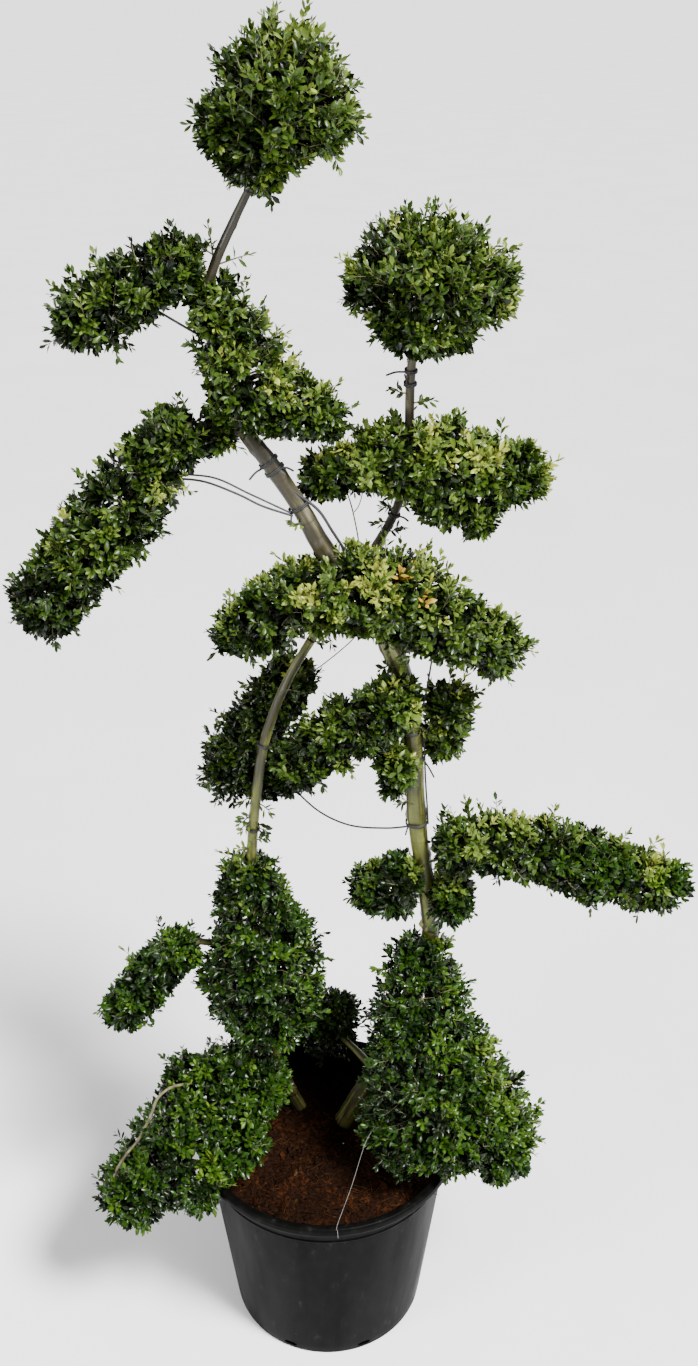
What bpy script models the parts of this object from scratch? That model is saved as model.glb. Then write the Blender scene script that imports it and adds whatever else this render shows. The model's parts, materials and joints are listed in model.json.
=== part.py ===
"""A potted cloud-pruned holly, 2 m tall: two stems that cross, pads and balls of clipped leaves.

Metres, +Z up. The origin is the centre of the pot's flat underside, +X is to the right and
+Y is to the back. The plant's limbs are tapered tubes. Each mass of foliage fills a space of
one to three rounded bars, with a dense core, one stem to the limb that carries it, and twigs
that end near the outside and bear leaves.
"""
import math
import random

import bmesh
import bpy
from mathutils import Matrix, Vector

GAP = 0.0003            # clear distance between pieces that touch

# Pot: a turned nursery container
POT_HEIGHT = 0.350
POT_BASE_RADIUS = 0.158
POT_WALL_RADIUS = 0.194     # outside of the plain wall, at its top
POT_WALL_TOP = 0.302
POT_BAND_RADIUS = 0.1985     # outside of the band under the rim, at its top
POT_RIM_RADIUS = 0.214
POT_RIM_HEIGHT = 0.016
POT_THICKNESS = 0.0035
POT_FLOOR = 0.0045
POT_SIDES = 36
DRAIN_COUNT = 8
DRAIN_WIDTH = 0.022
DRAIN_HEIGHT = 0.010

# Growing mix inside the pot
SOIL_TOP = 0.300
SOIL_EDGE_DROP = 0.010
SOIL_FLAT_RADIUS = 0.135

# Limbs
TRUNK_SIDES = 8
BOUGH_SIDES = 7
RINGS_PER_SPAN = 2
FLARE_HEIGHT = 0.035
FLARE_GAIN = 0.12       # how much wider the foot is than the stem just above it
FLARE_BUTTRESSES = 5

# Foliage
SOLVER_OF_MASSES = "MANIFOLD"   # the exact solver loses a core where a bough's tip faces it
CORE_SCALE = 0.66       # size of the dense core against the space of its mass
CORE_SIDES = 8
CORE_ROUGHNESS = 0.09   # how far a point of the core may stray, as a share of its size
STEM_SIDES = 6
TARGET_TRIES = 150      # places tried for twigs, for each station of a mass
TWIG_SPACING = 0.095    # least distance between twigs on the outside of a mass
TWIG_CROWDING = 1.3     # the same in a small mass, as a share of its largest half width
TWIG_RADIUS = 0.0022
TWIG_START = 0.30       # where a twig starts inside the core, as a share of the way out
TWIG_ENDS = (0.86, 0.76, 0.66, 0.56)    # where a twig may end, the furthest tried first
LEAF_LENGTH = 0.048
LEAF_WIDTH = 0.50       # share of the leaf's length
LEAF_THICKNESS = 0.0032
LEAF_REACHES = (1.15, 0.95, 0.78, 0.62)     # lengths tried, the longest first
LEAF_STEEPNESS = (66, 48, 32, 18)   # degrees out of the surface tried, the steepest first
LEAF_SPACING = 0.030    # least distance between the middles of leaves
SIDE_LEAVES = 2         # tried on each twig, besides the leaf at its end
LEAF_STEP = 0.010       # along the twig from one leaf to the next
LEAF_TURN = 2.2         # radians round the twig from one leaf to the next
LIMB_CLEARANCE = 0.004  # from a leaf to a limb's surface
POT_CLEARANCE = 0.006   # from a leaf to the pot's rim or the soil


# Limbs: way points (x, y, z, radius) from root to tip

MAIN_TRUNK = [
    (0.029, 0.064, SOIL_TOP + GAP, 0.0175),
    (0.052, 0.062, 0.355, 0.0158),
    (0.080, 0.060, 0.416, 0.0154),
    (0.126, 0.052, 0.552, 0.0150),
    (0.161, 0.046, 0.683, 0.0138),
    (0.153, 0.046, 0.807, 0.0136),
    (0.139, 0.050, 0.898, 0.0142),
    (0.127, 0.050, 1.053, 0.0152),
    (0.108, 0.048, 1.165, 0.0150),
    (0.058, 0.042, 1.282, 0.0148),
    (0.004, 0.040, 1.351, 0.0140),
    (-0.029, 0.042, 1.412, 0.0128),
    (-0.068, 0.046, 1.472, 0.0115),
    (-0.103, 0.050, 1.520, 0.0102),
    (-0.129, 0.050, 1.590, 0.0090),
    (-0.140, 0.050, 1.681, 0.0070),
    (-0.130, 0.050, 1.722, 0.0062),
    (-0.106, 0.050, 1.771, 0.0056),
    (-0.084, 0.050, 1.812, 0.0050),
]

LEFT_STEM = [
    (-0.048, 0.095, SOIL_TOP + GAP, 0.0115),
    (-0.067, 0.098, 0.345, 0.0106),
    (-0.097, 0.100, 0.445, 0.0098),
    (-0.116, 0.090, 0.621, 0.0088),
    (-0.114, 0.080, 0.826, 0.0080),
    (-0.100, 0.080, 0.967, 0.0078),
    (-0.083, 0.082, 1.052, 0.0074),
    (-0.045, 0.095, 1.143, 0.0069),
    (0.028, 0.116, 1.259, 0.0066),
    (0.079, 0.120, 1.335, 0.0064),
    (0.106, 0.110, 1.400, 0.0064),
    (0.115, 0.100, 1.472, 0.0063),
    (0.116, 0.090, 1.563, 0.0062),
    (0.118, 0.086, 1.604, 0.0060),
]

# Boughs: the limb that carries each one, and its way points, the first on that limb's axis
BOUGHS = {
    "bough_left_long": ("main_trunk", [
        (-0.100, 0.050, 1.516, 0.0078),
        (-0.128, 0.049, 1.521, 0.0066),
        (-0.152, 0.048, 1.521, 0.0058),
    ]),
    "bough_right_small": ("main_trunk", [
        (0.128, 0.050, 1.040, 0.0070),
        (0.150, 0.054, 1.060, 0.0058),
        (0.161, 0.057, 1.076, 0.0050),
    ]),
    "bough_right_long": ("main_trunk", [
        (0.159, 0.046, 0.722, 0.0105),
        (0.180, 0.042, 0.775, 0.0092),
        (0.194, 0.037, 0.828, 0.0082),
        (0.205, 0.033, 0.864, 0.0076),
    ]),
    "bough_left_small_arm": ("left_stem", [
        (-0.116, 0.088, 0.640, 0.0072),
        (-0.160, 0.076, 0.664, 0.0060),
        (-0.200, 0.064, 0.679, 0.0052),
    ]),
    "bough_back_tuft": ("main_trunk", [
        (0.078, 0.066, 0.410, 0.0064),
        (0.052, 0.104, 0.414, 0.0056),
        (0.026, 0.136, 0.418, 0.0050),
    ]),
    "bough_lower_left": ("left_stem", [
        (-0.063, 0.097, 0.336, 0.0080),
        (-0.076, 0.070, 0.362, 0.0072),
        (-0.086, 0.050, 0.382, 0.0066),
    ]),
}


# Masses of foliage: the limb that carries each one, and the chains of stations that fill its
# space. A station is x, y, z, half depth and half thickness; a chain ends in two round caps,
# whose lengths follow the stations. A chain of one station is a ball.
FOLIAGE = {
    "foliage_top_ball": ("main_trunk", [
        ([(-0.078, 0.050, 1.846, 0.054, 0.052), (-0.044, 0.050, 1.906, 0.096, 0.098)],
         0.036, 0.095),
        ([(-0.108, 0.042, 1.886, 0.046, 0.042)], 0.046, 0.046),
        ([(0.006, 0.056, 1.890, 0.052, 0.046)], 0.048, 0.046),
    ]),
    "foliage_top_left_pad": ("main_trunk", [
        ([(-0.176, 0.050, 1.727, 0.050, 0.042), (-0.236, 0.050, 1.694, 0.056, 0.050),
          (-0.290, 0.048, 1.661, 0.048, 0.047)], 0.038, 0.048),
    ]),
    "foliage_upper_left": ("main_trunk", [
        ([(-0.133, 0.050, 1.684, 0.040, 0.034), (-0.108, 0.050, 1.628, 0.060, 0.060),
          (-0.088, 0.050, 1.570, 0.066, 0.070)], 0.032, 0.060),
        ([(-0.070, 0.048, 1.560, 0.056, 0.054), (-0.012, 0.046, 1.541, 0.044, 0.041)],
         0.034, 0.052),
    ]),
    "foliage_left_long_pad": ("bough_left_long", [
        ([(-0.193, 0.046, 1.509, 0.052, 0.047), (-0.284, 0.038, 1.390, 0.064, 0.064),
          (-0.372, 0.030, 1.284, 0.054, 0.055)],
         0.040, 0.054),
        ([(-0.152, 0.046, 1.511, 0.036, 0.032), (-0.136, 0.046, 1.516, 0.032, 0.027)],
         0.034, 0.028),
    ]),
    "foliage_right_ball": ("left_stem", [
        ([(0.116, 0.082, 1.646, 0.064, 0.066), (0.138, 0.080, 1.700, 0.098, 0.100)],
         0.042, 0.090),
        ([(0.208, 0.078, 1.690, 0.056, 0.048)], 0.052, 0.050),
        ([(0.068, 0.082, 1.694, 0.050, 0.042)], 0.048, 0.048),
        ([(0.170, 0.080, 1.642, 0.044, 0.034)], 0.036, 0.036),
    ]),
    "foliage_right_upper_pad": ("left_stem", [
        ([(0.006, 0.084, 1.444, 0.046, 0.032), (0.078, 0.082, 1.467, 0.068, 0.048),
          (0.160, 0.080, 1.467, 0.074, 0.062), (0.258, 0.078, 1.449, 0.058, 0.048)],
         0.042, 0.054),
        ([(0.156, 0.076, 1.424, 0.056, 0.048), (0.204, 0.072, 1.402, 0.054, 0.046)],
         0.040, 0.046),
    ]),
    "foliage_middle_pad": ("main_trunk", [
        ([(-0.112, 0.040, 1.234, 0.050, 0.041), (-0.050, 0.030, 1.282, 0.068, 0.055),
          (0.040, 0.022, 1.308, 0.084, 0.064), (0.110, 0.020, 1.292, 0.084, 0.068),
          (0.180, 0.024, 1.248, 0.070, 0.058), (0.238, 0.030, 1.216, 0.052, 0.046)],
         0.044, 0.048),
    ]),
    "foliage_behind_left_stem": ("left_stem", [
        ([(-0.054, 0.140, 1.102, 0.052, 0.042), (-0.095, 0.148, 1.039, 0.060, 0.047),
          (-0.134, 0.146, 0.966, 0.064, 0.064)], 0.046, 0.070),
        ([(-0.100, 0.140, 0.954, 0.054, 0.048), (-0.058, 0.134, 0.952, 0.050, 0.045)],
         0.034, 0.044),
    ]),
    "foliage_cross_pad": ("main_trunk", [
        ([(0.104, 0.008, 1.136, 0.046, 0.044), (0.020, 0.032, 1.072, 0.054, 0.052),
          (-0.034, 0.046, 1.022, 0.048, 0.044)], 0.038, 0.044),
    ]),
    "foliage_trunk_tuft": ("main_trunk", [
        ([(0.103, 0.026, 1.020, 0.038, 0.027)], 0.054, 0.054),
    ]),
    "foliage_right_small_pad": ("bough_right_small", [
        ([(0.180, 0.058, 1.101, 0.048, 0.041), (0.170, 0.062, 1.046, 0.040, 0.032)],
         0.044, 0.034),
    ]),
    "foliage_right_long_pad": ("bough_right_long", [
        ([(0.200, 0.030, 0.884, 0.054, 0.046), (0.286, 0.022, 0.894, 0.066, 0.048),
          (0.384, 0.018, 0.860, 0.066, 0.055), (0.496, 0.010, 0.832, 0.050, 0.047)],
         0.044, 0.056),
    ]),
    "foliage_left_small_pad": ("main_trunk", [
        ([(0.116, 0.034, 0.828, 0.042, 0.040), (0.078, 0.046, 0.796, 0.048, 0.046)],
         0.034, 0.042),
        ([(0.112, 0.038, 0.784, 0.036, 0.032)], 0.032, 0.034),
    ]),
    "foliage_fork_tuft": ("bough_right_long", [
        ([(0.190, 0.026, 0.796, 0.044, 0.036)], 0.050, 0.050),
    ]),
    "foliage_left_cone": ("left_stem", [
        ([(-0.120, 0.072, 0.796, 0.054, 0.053), (-0.100, 0.064, 0.712, 0.076, 0.080),
          (-0.110, 0.054, 0.624, 0.092, 0.110), (-0.088, 0.044, 0.552, 0.074, 0.084)],
         0.042, 0.062),
    ]),
    "foliage_left_small_arm": ("bough_left_small_arm", [
        ([(-0.236, 0.052, 0.672, 0.044, 0.039), (-0.278, 0.044, 0.626, 0.048, 0.045),
          (-0.317, 0.040, 0.573, 0.044, 0.042)], 0.038, 0.048),
    ]),
    "foliage_back_tuft": ("bough_back_tuft", [
        ([(-0.004, 0.178, 0.421, 0.064, 0.066)], 0.057, 0.064),
    ]),
    "foliage_lower_left_pad": ("bough_lower_left", [
        ([(-0.116, 0.024, 0.428, 0.070, 0.062), (-0.184, -0.022, 0.408, 0.104, 0.073),
          (-0.248, -0.062, 0.362, 0.104, 0.072), (-0.304, -0.094, 0.312, 0.078, 0.064)],
         0.056, 0.064),
        ([(-0.140, -0.064, 0.394, 0.064, 0.055), (-0.204, -0.118, 0.355, 0.060, 0.054)],
         0.046, 0.050),
        ([(-0.150, 0.010, 0.462, 0.056, 0.042), (-0.226, 0.000, 0.440, 0.060, 0.046)],
         0.040, 0.044),
    ]),
    "foliage_right_cone": ("main_trunk", [
        ([(0.150, 0.034, 0.672, 0.056, 0.052), (0.146, 0.008, 0.590, 0.080, 0.086),
          (0.162, -0.022, 0.500, 0.100, 0.120), (0.206, -0.056, 0.410, 0.108, 0.142)],
         0.048, 0.068),
        ([(0.124, -0.050, 0.400, 0.076, 0.080)], 0.050, 0.052),
        ([(0.279, -0.062, 0.370, 0.070, 0.055)], 0.050, 0.052),
    ]),
}


# Materials

def principled(name, colour, roughness):
    """A plain Principled BSDF material."""
    material = bpy.data.materials.new(name)
    material.use_nodes = True
    shader = material.node_tree.nodes["Principled BSDF"]
    shader.inputs["Base Color"].default_value = (*colour, 1.0)
    shader.inputs["Roughness"].default_value = roughness
    shader.inputs["Metallic"].default_value = 0.0
    material.diffuse_color = (*colour, 1.0)
    return material


# Mesh helpers

def add_object(name, verts, faces, material):
    """A new object in the scene from a list of points and faces, with its faces pointing out."""
    mesh = bpy.data.meshes.new(name)
    mesh.from_pydata([tuple(v) for v in verts], [], faces)
    bm = bmesh.new()
    bm.from_mesh(mesh)
    bmesh.ops.recalc_face_normals(bm, faces=bm.faces)
    bm.to_mesh(mesh)
    bm.free()
    obj = bpy.data.objects.new(name, mesh)
    bpy.context.scene.collection.objects.link(obj)
    if material is not None:
        mesh.materials.append(material)
    return obj


def remove_object(obj):
    """Take an object and its mesh out of the file."""
    mesh = obj.data
    bpy.data.objects.remove(obj)
    bpy.data.meshes.remove(mesh)


def turned(name, profile, sides, material):
    """A closed solid turned about Z from its half profile, which starts and ends on the axis."""
    verts = [Vector((0.0, 0.0, profile[0][1]))]
    for radius, height in profile[1:-1]:
        for i in range(sides):
            angle = 2.0 * math.pi * i / sides
            verts.append(Vector((radius * math.cos(angle), radius * math.sin(angle), height)))
    verts.append(Vector((0.0, 0.0, profile[-1][1])))
    faces = []
    ring_count = len(profile) - 2
    last_ring = 1 + (ring_count - 1) * sides
    for i in range(sides):
        j = (i + 1) % sides
        faces.append((0, 1 + j, 1 + i))
        faces.append((len(verts) - 1, last_ring + i, last_ring + j))
        for ring in range(ring_count - 1):
            a = 1 + ring * sides
            b = a + sides
            faces.append((a + i, a + j, b + j, b + i))
    return add_object(name, verts, faces, material)


def smooth_route(points, rings_per_span):
    """Points of a Catmull-Rom curve through the way points, as (centre, radius)."""
    known = [Vector(p) for p in points]
    ends = [known[0] * 2.0 - known[1]] + known + [known[-1] * 2.0 - known[-2]]
    route = []
    for k in range(1, len(ends) - 2):
        p0, p1, p2, p3 = ends[k - 1:k + 3]
        for step in range(rings_per_span):
            t = step / rings_per_span
            point = 0.5 * (2.0 * p1 + (p2 - p0) * t + (2.0 * p0 - 5.0 * p1 + 4.0 * p2 - p3) * t * t
                           + (3.0 * p1 - p0 - 3.0 * p2 + p3) * t ** 3)
            route.append(point)
    route.append(known[-1])
    return [(Vector(p[:3]), p[3]) for p in route]


def limb_mesh(name, points, sides, material, grow=0.0, foot=False):
    """A tapered tube along the way points. A foot is flared, ridged and cut level."""
    route = smooth_route([Vector(p) for p in points], RINGS_PER_SPAN)
    centres = [c for c, _ in route]
    verts = []
    side_axis = Vector((0.0, -1.0, 0.0))
    ground = centres[0].z
    for i, (centre, radius) in enumerate(route):
        before = centres[max(i - 1, 0)]
        after = centres[min(i + 1, len(centres) - 1)]
        forward = (after - before).normalized()
        side_axis = (side_axis - forward * side_axis.dot(forward)).normalized()
        third_axis = forward.cross(side_axis)
        for k in range(sides):
            angle = 2.0 * math.pi * k / sides
            wide = radius
            if foot:
                ridge = 0.75 + 0.25 * math.cos(FLARE_BUTTRESSES * angle)
                wide *= 1.0 + FLARE_GAIN * ridge * math.exp(-(centre.z - ground) / FLARE_HEIGHT)
            wide += grow
            offset = side_axis * math.cos(angle) + third_axis * math.sin(angle)
            point = centre + offset * wide
            if foot and i == 0:
                point = point + forward * ((ground - point.z) / forward.z)
            verts.append(point)
    faces = [tuple(range(sides)), tuple(range(len(verts) - sides, len(verts)))]
    for ring in range(len(route) - 1):
        for k in range(sides):
            a = ring * sides + k
            b = ring * sides + (k + 1) % sides
            faces.append((a, b, b + sides, a + sides))
    return add_object(name, verts, faces, material)


def keep_main_shell(mesh):
    """Drop every loose scrap and every sealed hollow: only the largest shell stays."""
    bm = bmesh.new()
    bm.from_mesh(mesh)
    bmesh.ops.triangulate(bm, faces=bm.faces)
    unseen = set(bm.faces)
    shells = []
    while unseen:
        shell = {unseen.pop()}
        front = list(shell)
        while front:
            face = front.pop()
            for edge in face.edges:
                if len(edge.link_faces) != 2:
                    continue
                for other in edge.link_faces:
                    if other in unseen:
                        unseen.discard(other)
                        shell.add(other)
                        front.append(other)
        shells.append(shell)
    shells.sort(key=len, reverse=True)
    for shell in shells[1:]:
        bmesh.ops.delete(bm, geom=list(shell), context="FACES")
    bm.to_mesh(mesh)
    bm.free()


def apply_modifiers(obj):
    """Replace an object's mesh by the one its modifiers give."""
    bpy.context.view_layer.update()
    depsgraph = bpy.context.evaluated_depsgraph_get()
    result = bpy.data.meshes.new_from_object(obj.evaluated_get(depsgraph))
    obj.modifiers.clear()
    old = obj.data
    obj.data = result
    bpy.data.meshes.remove(old)


def apply_boolean(obj, operation, operands, solver="EXACT"):
    """Fuse or cut an object with a collection of operands, which are then removed."""
    group = bpy.data.collections.new("operands")
    for operand in operands:
        group.objects.link(operand)
    modifier = obj.modifiers.new("boolean", "BOOLEAN")
    modifier.operation = operation
    modifier.operand_type = "COLLECTION"
    modifier.collection = group
    modifier.solver = solver
    apply_modifiers(obj)
    for operand in operands:
        remove_object(operand)
    bpy.data.collections.remove(group)


# Pot and growing mix

def wall_radius(height):
    """Outer radius of the pot's wall and band at a height, without the rim."""
    if height <= POT_WALL_TOP:
        return POT_BASE_RADIUS + (POT_WALL_RADIUS - POT_BASE_RADIUS) * height / POT_WALL_TOP
    rim_foot = POT_HEIGHT - POT_RIM_HEIGHT
    share = (height - POT_WALL_TOP) / (rim_foot - POT_WALL_TOP)
    return POT_WALL_RADIUS + (POT_BAND_RADIUS - POT_WALL_RADIUS) * share


def make_pot(material):
    """The pot: floor, tapered wall, a band, a rolled rim, and drain holes at the foot."""
    rim_foot = POT_HEIGHT - POT_RIM_HEIGHT
    edge = 0.003
    step = 0.003
    profile = [
        (0.0, 0.0),
        (POT_BASE_RADIUS - edge, 0.0),
        (wall_radius(edge), edge),
        (POT_WALL_RADIUS, POT_WALL_TOP),
        (POT_WALL_RADIUS + step, POT_WALL_TOP + step),
        (POT_BAND_RADIUS + step, rim_foot - step),
        (POT_RIM_RADIUS - step, rim_foot),
        (POT_RIM_RADIUS, rim_foot + step),
        (POT_RIM_RADIUS, POT_HEIGHT - step),
        (POT_RIM_RADIUS - step, POT_HEIGHT),
        (POT_BAND_RADIUS + 2.0 * step, POT_HEIGHT),
        (POT_BAND_RADIUS - POT_THICKNESS, rim_foot),
        (POT_WALL_RADIUS - POT_THICKNESS, POT_WALL_TOP),
        (wall_radius(POT_FLOOR) - POT_THICKNESS, POT_FLOOR),
        (0.0, POT_FLOOR),
    ]
    pot = turned("pot", profile, POT_SIDES, material)
    cutters = []
    for i in range(DRAIN_COUNT):
        angle = 2.0 * math.pi * (i + 0.5) / DRAIN_COUNT
        bm = bmesh.new()
        bmesh.ops.create_cube(bm, size=1.0)
        size = Matrix.Diagonal((0.020, DRAIN_WIDTH, DRAIN_HEIGHT, 1.0))
        place = Matrix.Translation((POT_BASE_RADIUS, 0.0, POT_FLOOR + DRAIN_HEIGHT / 2.0 + 0.001))
        bmesh.ops.transform(bm, matrix=Matrix.Rotation(angle, 4, "Z") @ place @ size, verts=bm.verts)
        mesh = bpy.data.meshes.new("drain")
        bm.to_mesh(mesh)
        bm.free()
        cutter = bpy.data.objects.new("drain", mesh)
        cutters.append(cutter)
    apply_boolean(pot, "DIFFERENCE", cutters)
    keep_main_shell(pot.data)
    pot.data.set_sharp_from_angle(angle=math.radians(30.0))
    return pot


def make_soil(material):
    """The growing mix: it fills the pot to the soil line, level round the stems."""
    low = POT_FLOOR + GAP
    edge_height = SOIL_TOP - SOIL_EDGE_DROP
    side_gap = POT_THICKNESS + GAP * 1.2
    profile = [
        (0.0, low),
        (wall_radius(low) - side_gap, low),
        (wall_radius(edge_height) - side_gap, edge_height),
        (SOIL_FLAT_RADIUS, SOIL_TOP),
        (0.0, SOIL_TOP),
    ]
    return turned("soil", profile, POT_SIDES, material)


def pot_cutter():
    """The pot's outer form with a little air round it, to cut foliage clear of the rim."""
    radius = POT_RIM_RADIUS + POT_CLEARANCE
    profile = [(0.0, SOIL_TOP), (radius, SOIL_TOP), (radius, POT_HEIGHT + POT_CLEARANCE / 2.0),
               (0.0, POT_HEIGHT + POT_CLEARANCE / 2.0)]
    return turned("cutter", profile, POT_SIDES, None)


# Foliage

class Limb:
    """A limb's way points, as short straight pieces to measure distances to."""

    def __init__(self, points, sides, foot):
        self.points = points
        self.sides = sides
        self.foot = foot
        self.route = smooth_route([Vector(p) for p in points], RINGS_PER_SPAN)

    def clearance(self, point):
        """Distance from a point to the limb's surface, less than zero inside it."""
        best = 10.0
        for (a, radius_a), (b, radius_b) in zip(self.route, self.route[1:]):
            along = b - a
            t = min(max((point - a).dot(along) / along.length_squared, 0.0), 1.0)
            radius = radius_a + (radius_b - radius_a) * t
            best = min(best, (point - a - along * t).length - radius)
        return best

    def nearest(self, point):
        """The point of the limb's axis that is nearest to a point, and the radius there."""
        best = None
        for (a, radius_a), (b, radius_b) in zip(self.route, self.route[1:]):
            along = b - a
            t = min(max((point - a).dot(along) / along.length_squared, 0.0), 1.0)
            foot_point = a + along * t
            distance = (point - foot_point).length
            if best is None or distance < best[0]:
                best = (distance, foot_point, radius_a + (radius_b - radius_a) * t)
        return best[1], best[2]


class Chain:
    """Part of a mass's space: a rounded bar through its stations."""

    def __init__(self, stations, start_cap, end_cap):
        self.centres = [Vector(s[:3]) for s in stations]
        self.depths = [s[3] for s in stations]
        self.thicks = [s[4] for s in stations]
        self.caps = (start_cap, end_cap)
        self.reach = max(self.depths + self.thicks + [start_cap, end_cap])

    def axes(self, k):
        """Directions of a station: along the chain, in depth and in thickness."""
        if len(self.centres) == 1:
            along = Vector((0.0, 0.0, -1.0))
        else:
            before = self.centres[max(k - 1, 0)]
            after = self.centres[min(k + 1, len(self.centres) - 1)]
            along = (after - before).normalized()
        depth = Vector((0.0, 1.0, 0.0))
        depth = (depth - along * depth.dot(along)).normalized()
        return along, depth, along.cross(depth)

    def point(self, place, angle, scale=1.0):
        """A point of the outside. Place runs from -1, over the stations 0, 1, 2 ..., to the end."""
        last = len(self.centres) - 1
        k = min(max(int(math.floor(place)), 0), last)
        t = min(max(place - k, 0.0), 1.0) if k < last else 0.0
        n = min(k + 1, last)
        along, depth, thick = [a.lerp(b, t).normalized() for a, b in zip(self.axes(k), self.axes(n))]
        centre = self.centres[k].lerp(self.centres[n], t)
        half_depth = self.depths[k] + (self.depths[n] - self.depths[k]) * t
        half_thick = self.thicks[k] + (self.thicks[n] - self.thicks[k]) * t
        over = place if place < 0.0 else max(place - last, 0.0)
        latitude = over * math.pi / 2.0
        cap = self.caps[0] if place < 0.0 else self.caps[1]
        round_part = (depth * half_depth * math.cos(angle) + thick * half_thick * math.sin(angle))
        offset = along * cap * math.sin(latitude) + round_part * math.cos(latitude)
        return centre, centre + offset * scale

    def level(self, point):
        """0 on the chain's axis, 1 on its outside."""
        best = 10.0
        last = len(self.centres) - 1
        for k in range(max(last, 1)):
            n = min(k + 1, last)
            a = self.centres[k]
            b = self.centres[n]
            along = (b - a).normalized() if n > k else Vector((0.0, 0.0, -1.0))
            length = (b - a).length
            way = (point - a).dot(along)
            t = min(max(way / length, 0.0), 1.0) if length else 0.0
            over = way - t * length
            depth = Vector((0.0, 1.0, 0.0))
            depth = (depth - along * depth.dot(along)).normalized()
            thick = along.cross(depth)
            offset = point - a.lerp(b, t)
            half_depth = self.depths[k] + (self.depths[n] - self.depths[k]) * t
            half_thick = self.thicks[k] + (self.thicks[n] - self.thicks[k]) * t
            cap = half_thick
            if over < 0.0 and k == 0:
                cap = self.caps[0]
            elif over > 0.0 and n == last:
                cap = self.caps[1]
            squares = ((offset.dot(depth) / half_depth) ** 2 + (offset.dot(thick) / half_thick) ** 2
                       + (over / cap) ** 2)
            best = min(best, math.sqrt(squares))
        return best


def inside_any(chains, point, scale=1.0):
    """True where a point lies in one of the chains, each taken at a scale."""
    return any(chain.level(point) < scale for chain in chains)


def clear_of_pot(point):
    """True where a point is clear of the pot and the soil."""
    radius = math.hypot(point.x, point.y)
    if radius < POT_RIM_RADIUS + POT_CLEARANCE and point.z < POT_HEIGHT + POT_CLEARANCE:
        return radius < POT_BAND_RADIUS - 0.02 and point.z > SOIL_TOP + POT_CLEARANCE
    return True


def free_point(point, chains, other_chains, limbs):
    """True where a point of a leaf may lie."""
    if not inside_any(chains, point) or inside_any(other_chains, point):
        return False
    if not clear_of_pot(point):
        return False
    return all(limb.clearance(point) > LIMB_CLEARANCE for limb in limbs)


def leaf_points(root, tip, face, width):
    """The six corners of a leaf: an oval blade drawn to a point at both ends."""
    forward = (tip - root).normalized()
    across = forward.cross(face)
    if across.length < 1e-4:
        across = forward.orthogonal()
    across.normalize()
    up = across.cross(forward).normalized()
    middle = root.lerp(tip, 0.52)
    half_thick = LEAF_THICKNESS / 2.0
    return [root, tip, middle + across * width / 2.0, middle - across * width / 2.0,
            middle + up * half_thick, middle - up * half_thick]


LEAF_FACES = [(0, 2, 4), (2, 1, 4), (1, 3, 4), (3, 0, 4), (2, 0, 5), (1, 2, 5), (3, 1, 5), (0, 3, 5)]


def twig_solid(start, end, leaf):
    """A three-sided twig that opens out into the leaf at its end, in one skin."""
    tip, right, left, top, bottom = leaf[1:]
    forward = (end - start).normalized()
    across = (right - left).normalized()
    heading = (tip - leaf[0]).normalized()
    verts = []
    for centre, radius, along in ((start, TWIG_RADIUS, forward),
                                  (end, TWIG_RADIUS * 0.6, (forward + heading).normalized())):
        side = (across - along * across.dot(along)).normalized()
        third = side.cross(along)
        for angle in (90.0, 210.0, 330.0):
            turn = math.radians(angle)
            verts.append(centre + (side * math.cos(turn) + third * math.sin(turn)) * radius)
    verts += [right, top, left, bottom, tip]
    faces = [(0, 1, 2), (0, 3, 4, 1), (1, 4, 5, 2), (2, 5, 3, 0),
             (3, 5, 6), (3, 6, 7), (3, 7, 8), (3, 8, 4), (4, 8, 9), (4, 9, 5), (5, 9, 6),
             (6, 7, 10), (7, 8, 10), (8, 9, 10), (9, 6, 10)]
    return add_object("twig", verts, faces, None)


def twig_targets(chains, rng):
    """Points spread evenly over the outside of a mass, each with the axis point behind it."""
    candidates = []
    for number, chain in enumerate(chains):
        neighbours = chains[:number] + chains[number + 1:]
        for _ in range(TARGET_TRIES * len(chain.centres)):
            place = rng.uniform(-0.95, len(chain.centres) - 0.05)
            centre, outside = chain.point(place, rng.uniform(0.0, 2.0 * math.pi))
            if not inside_any(neighbours, outside, 0.92):
                candidates.append((outside, centre))
    spacing = min(TWIG_SPACING, max(chain.reach for chain in chains) * TWIG_CROWDING)
    targets = []
    for outside, centre in candidates:
        if all((outside - other).length > spacing for other, _ in targets):
            targets.append((outside, centre))
    return targets


def core_piece(chain, rng):
    """The dense core of a chain: the same form made smaller, its surface a little uneven."""
    last = len(chain.centres) - 1
    if last == 0:
        places = [-0.60, -0.20, 0.20, 0.60]
    else:
        places = [-0.62, -0.28] + [float(k) for k in range(last + 1)] + [last + 0.28, last + 0.62]
    verts = [chain.point(-1.0, 0.0, CORE_SCALE)[1]]
    for row, place in enumerate(places):
        for k in range(CORE_SIDES):
            angle = 2.0 * math.pi * (k + 0.5 * (row % 2)) / CORE_SIDES
            scale = CORE_SCALE * (1.0 + rng.uniform(-CORE_ROUGHNESS, CORE_ROUGHNESS))
            verts.append(chain.point(place, angle, scale)[1])
    verts.append(chain.point(last + 1.0, 0.0, CORE_SCALE)[1])
    faces = []
    last_row = 1 + (len(places) - 1) * CORE_SIDES
    for k in range(CORE_SIDES):
        n = (k + 1) % CORE_SIDES
        faces.append((0, 1 + k, 1 + n))
        faces.append((len(verts) - 1, last_row + n, last_row + k))
        for row in range(len(places) - 1):
            a = 1 + row * CORE_SIDES
            b = a + CORE_SIDES
            if row % 2:
                faces.append((a + k, a + n, b + n))
                faces.append((a + k, b + n, b + k))
            else:
                faces.append((a + k, a + n, b + k))
                faces.append((a + n, b + n, b + k))
    return add_object("core", verts, faces, None)


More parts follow.
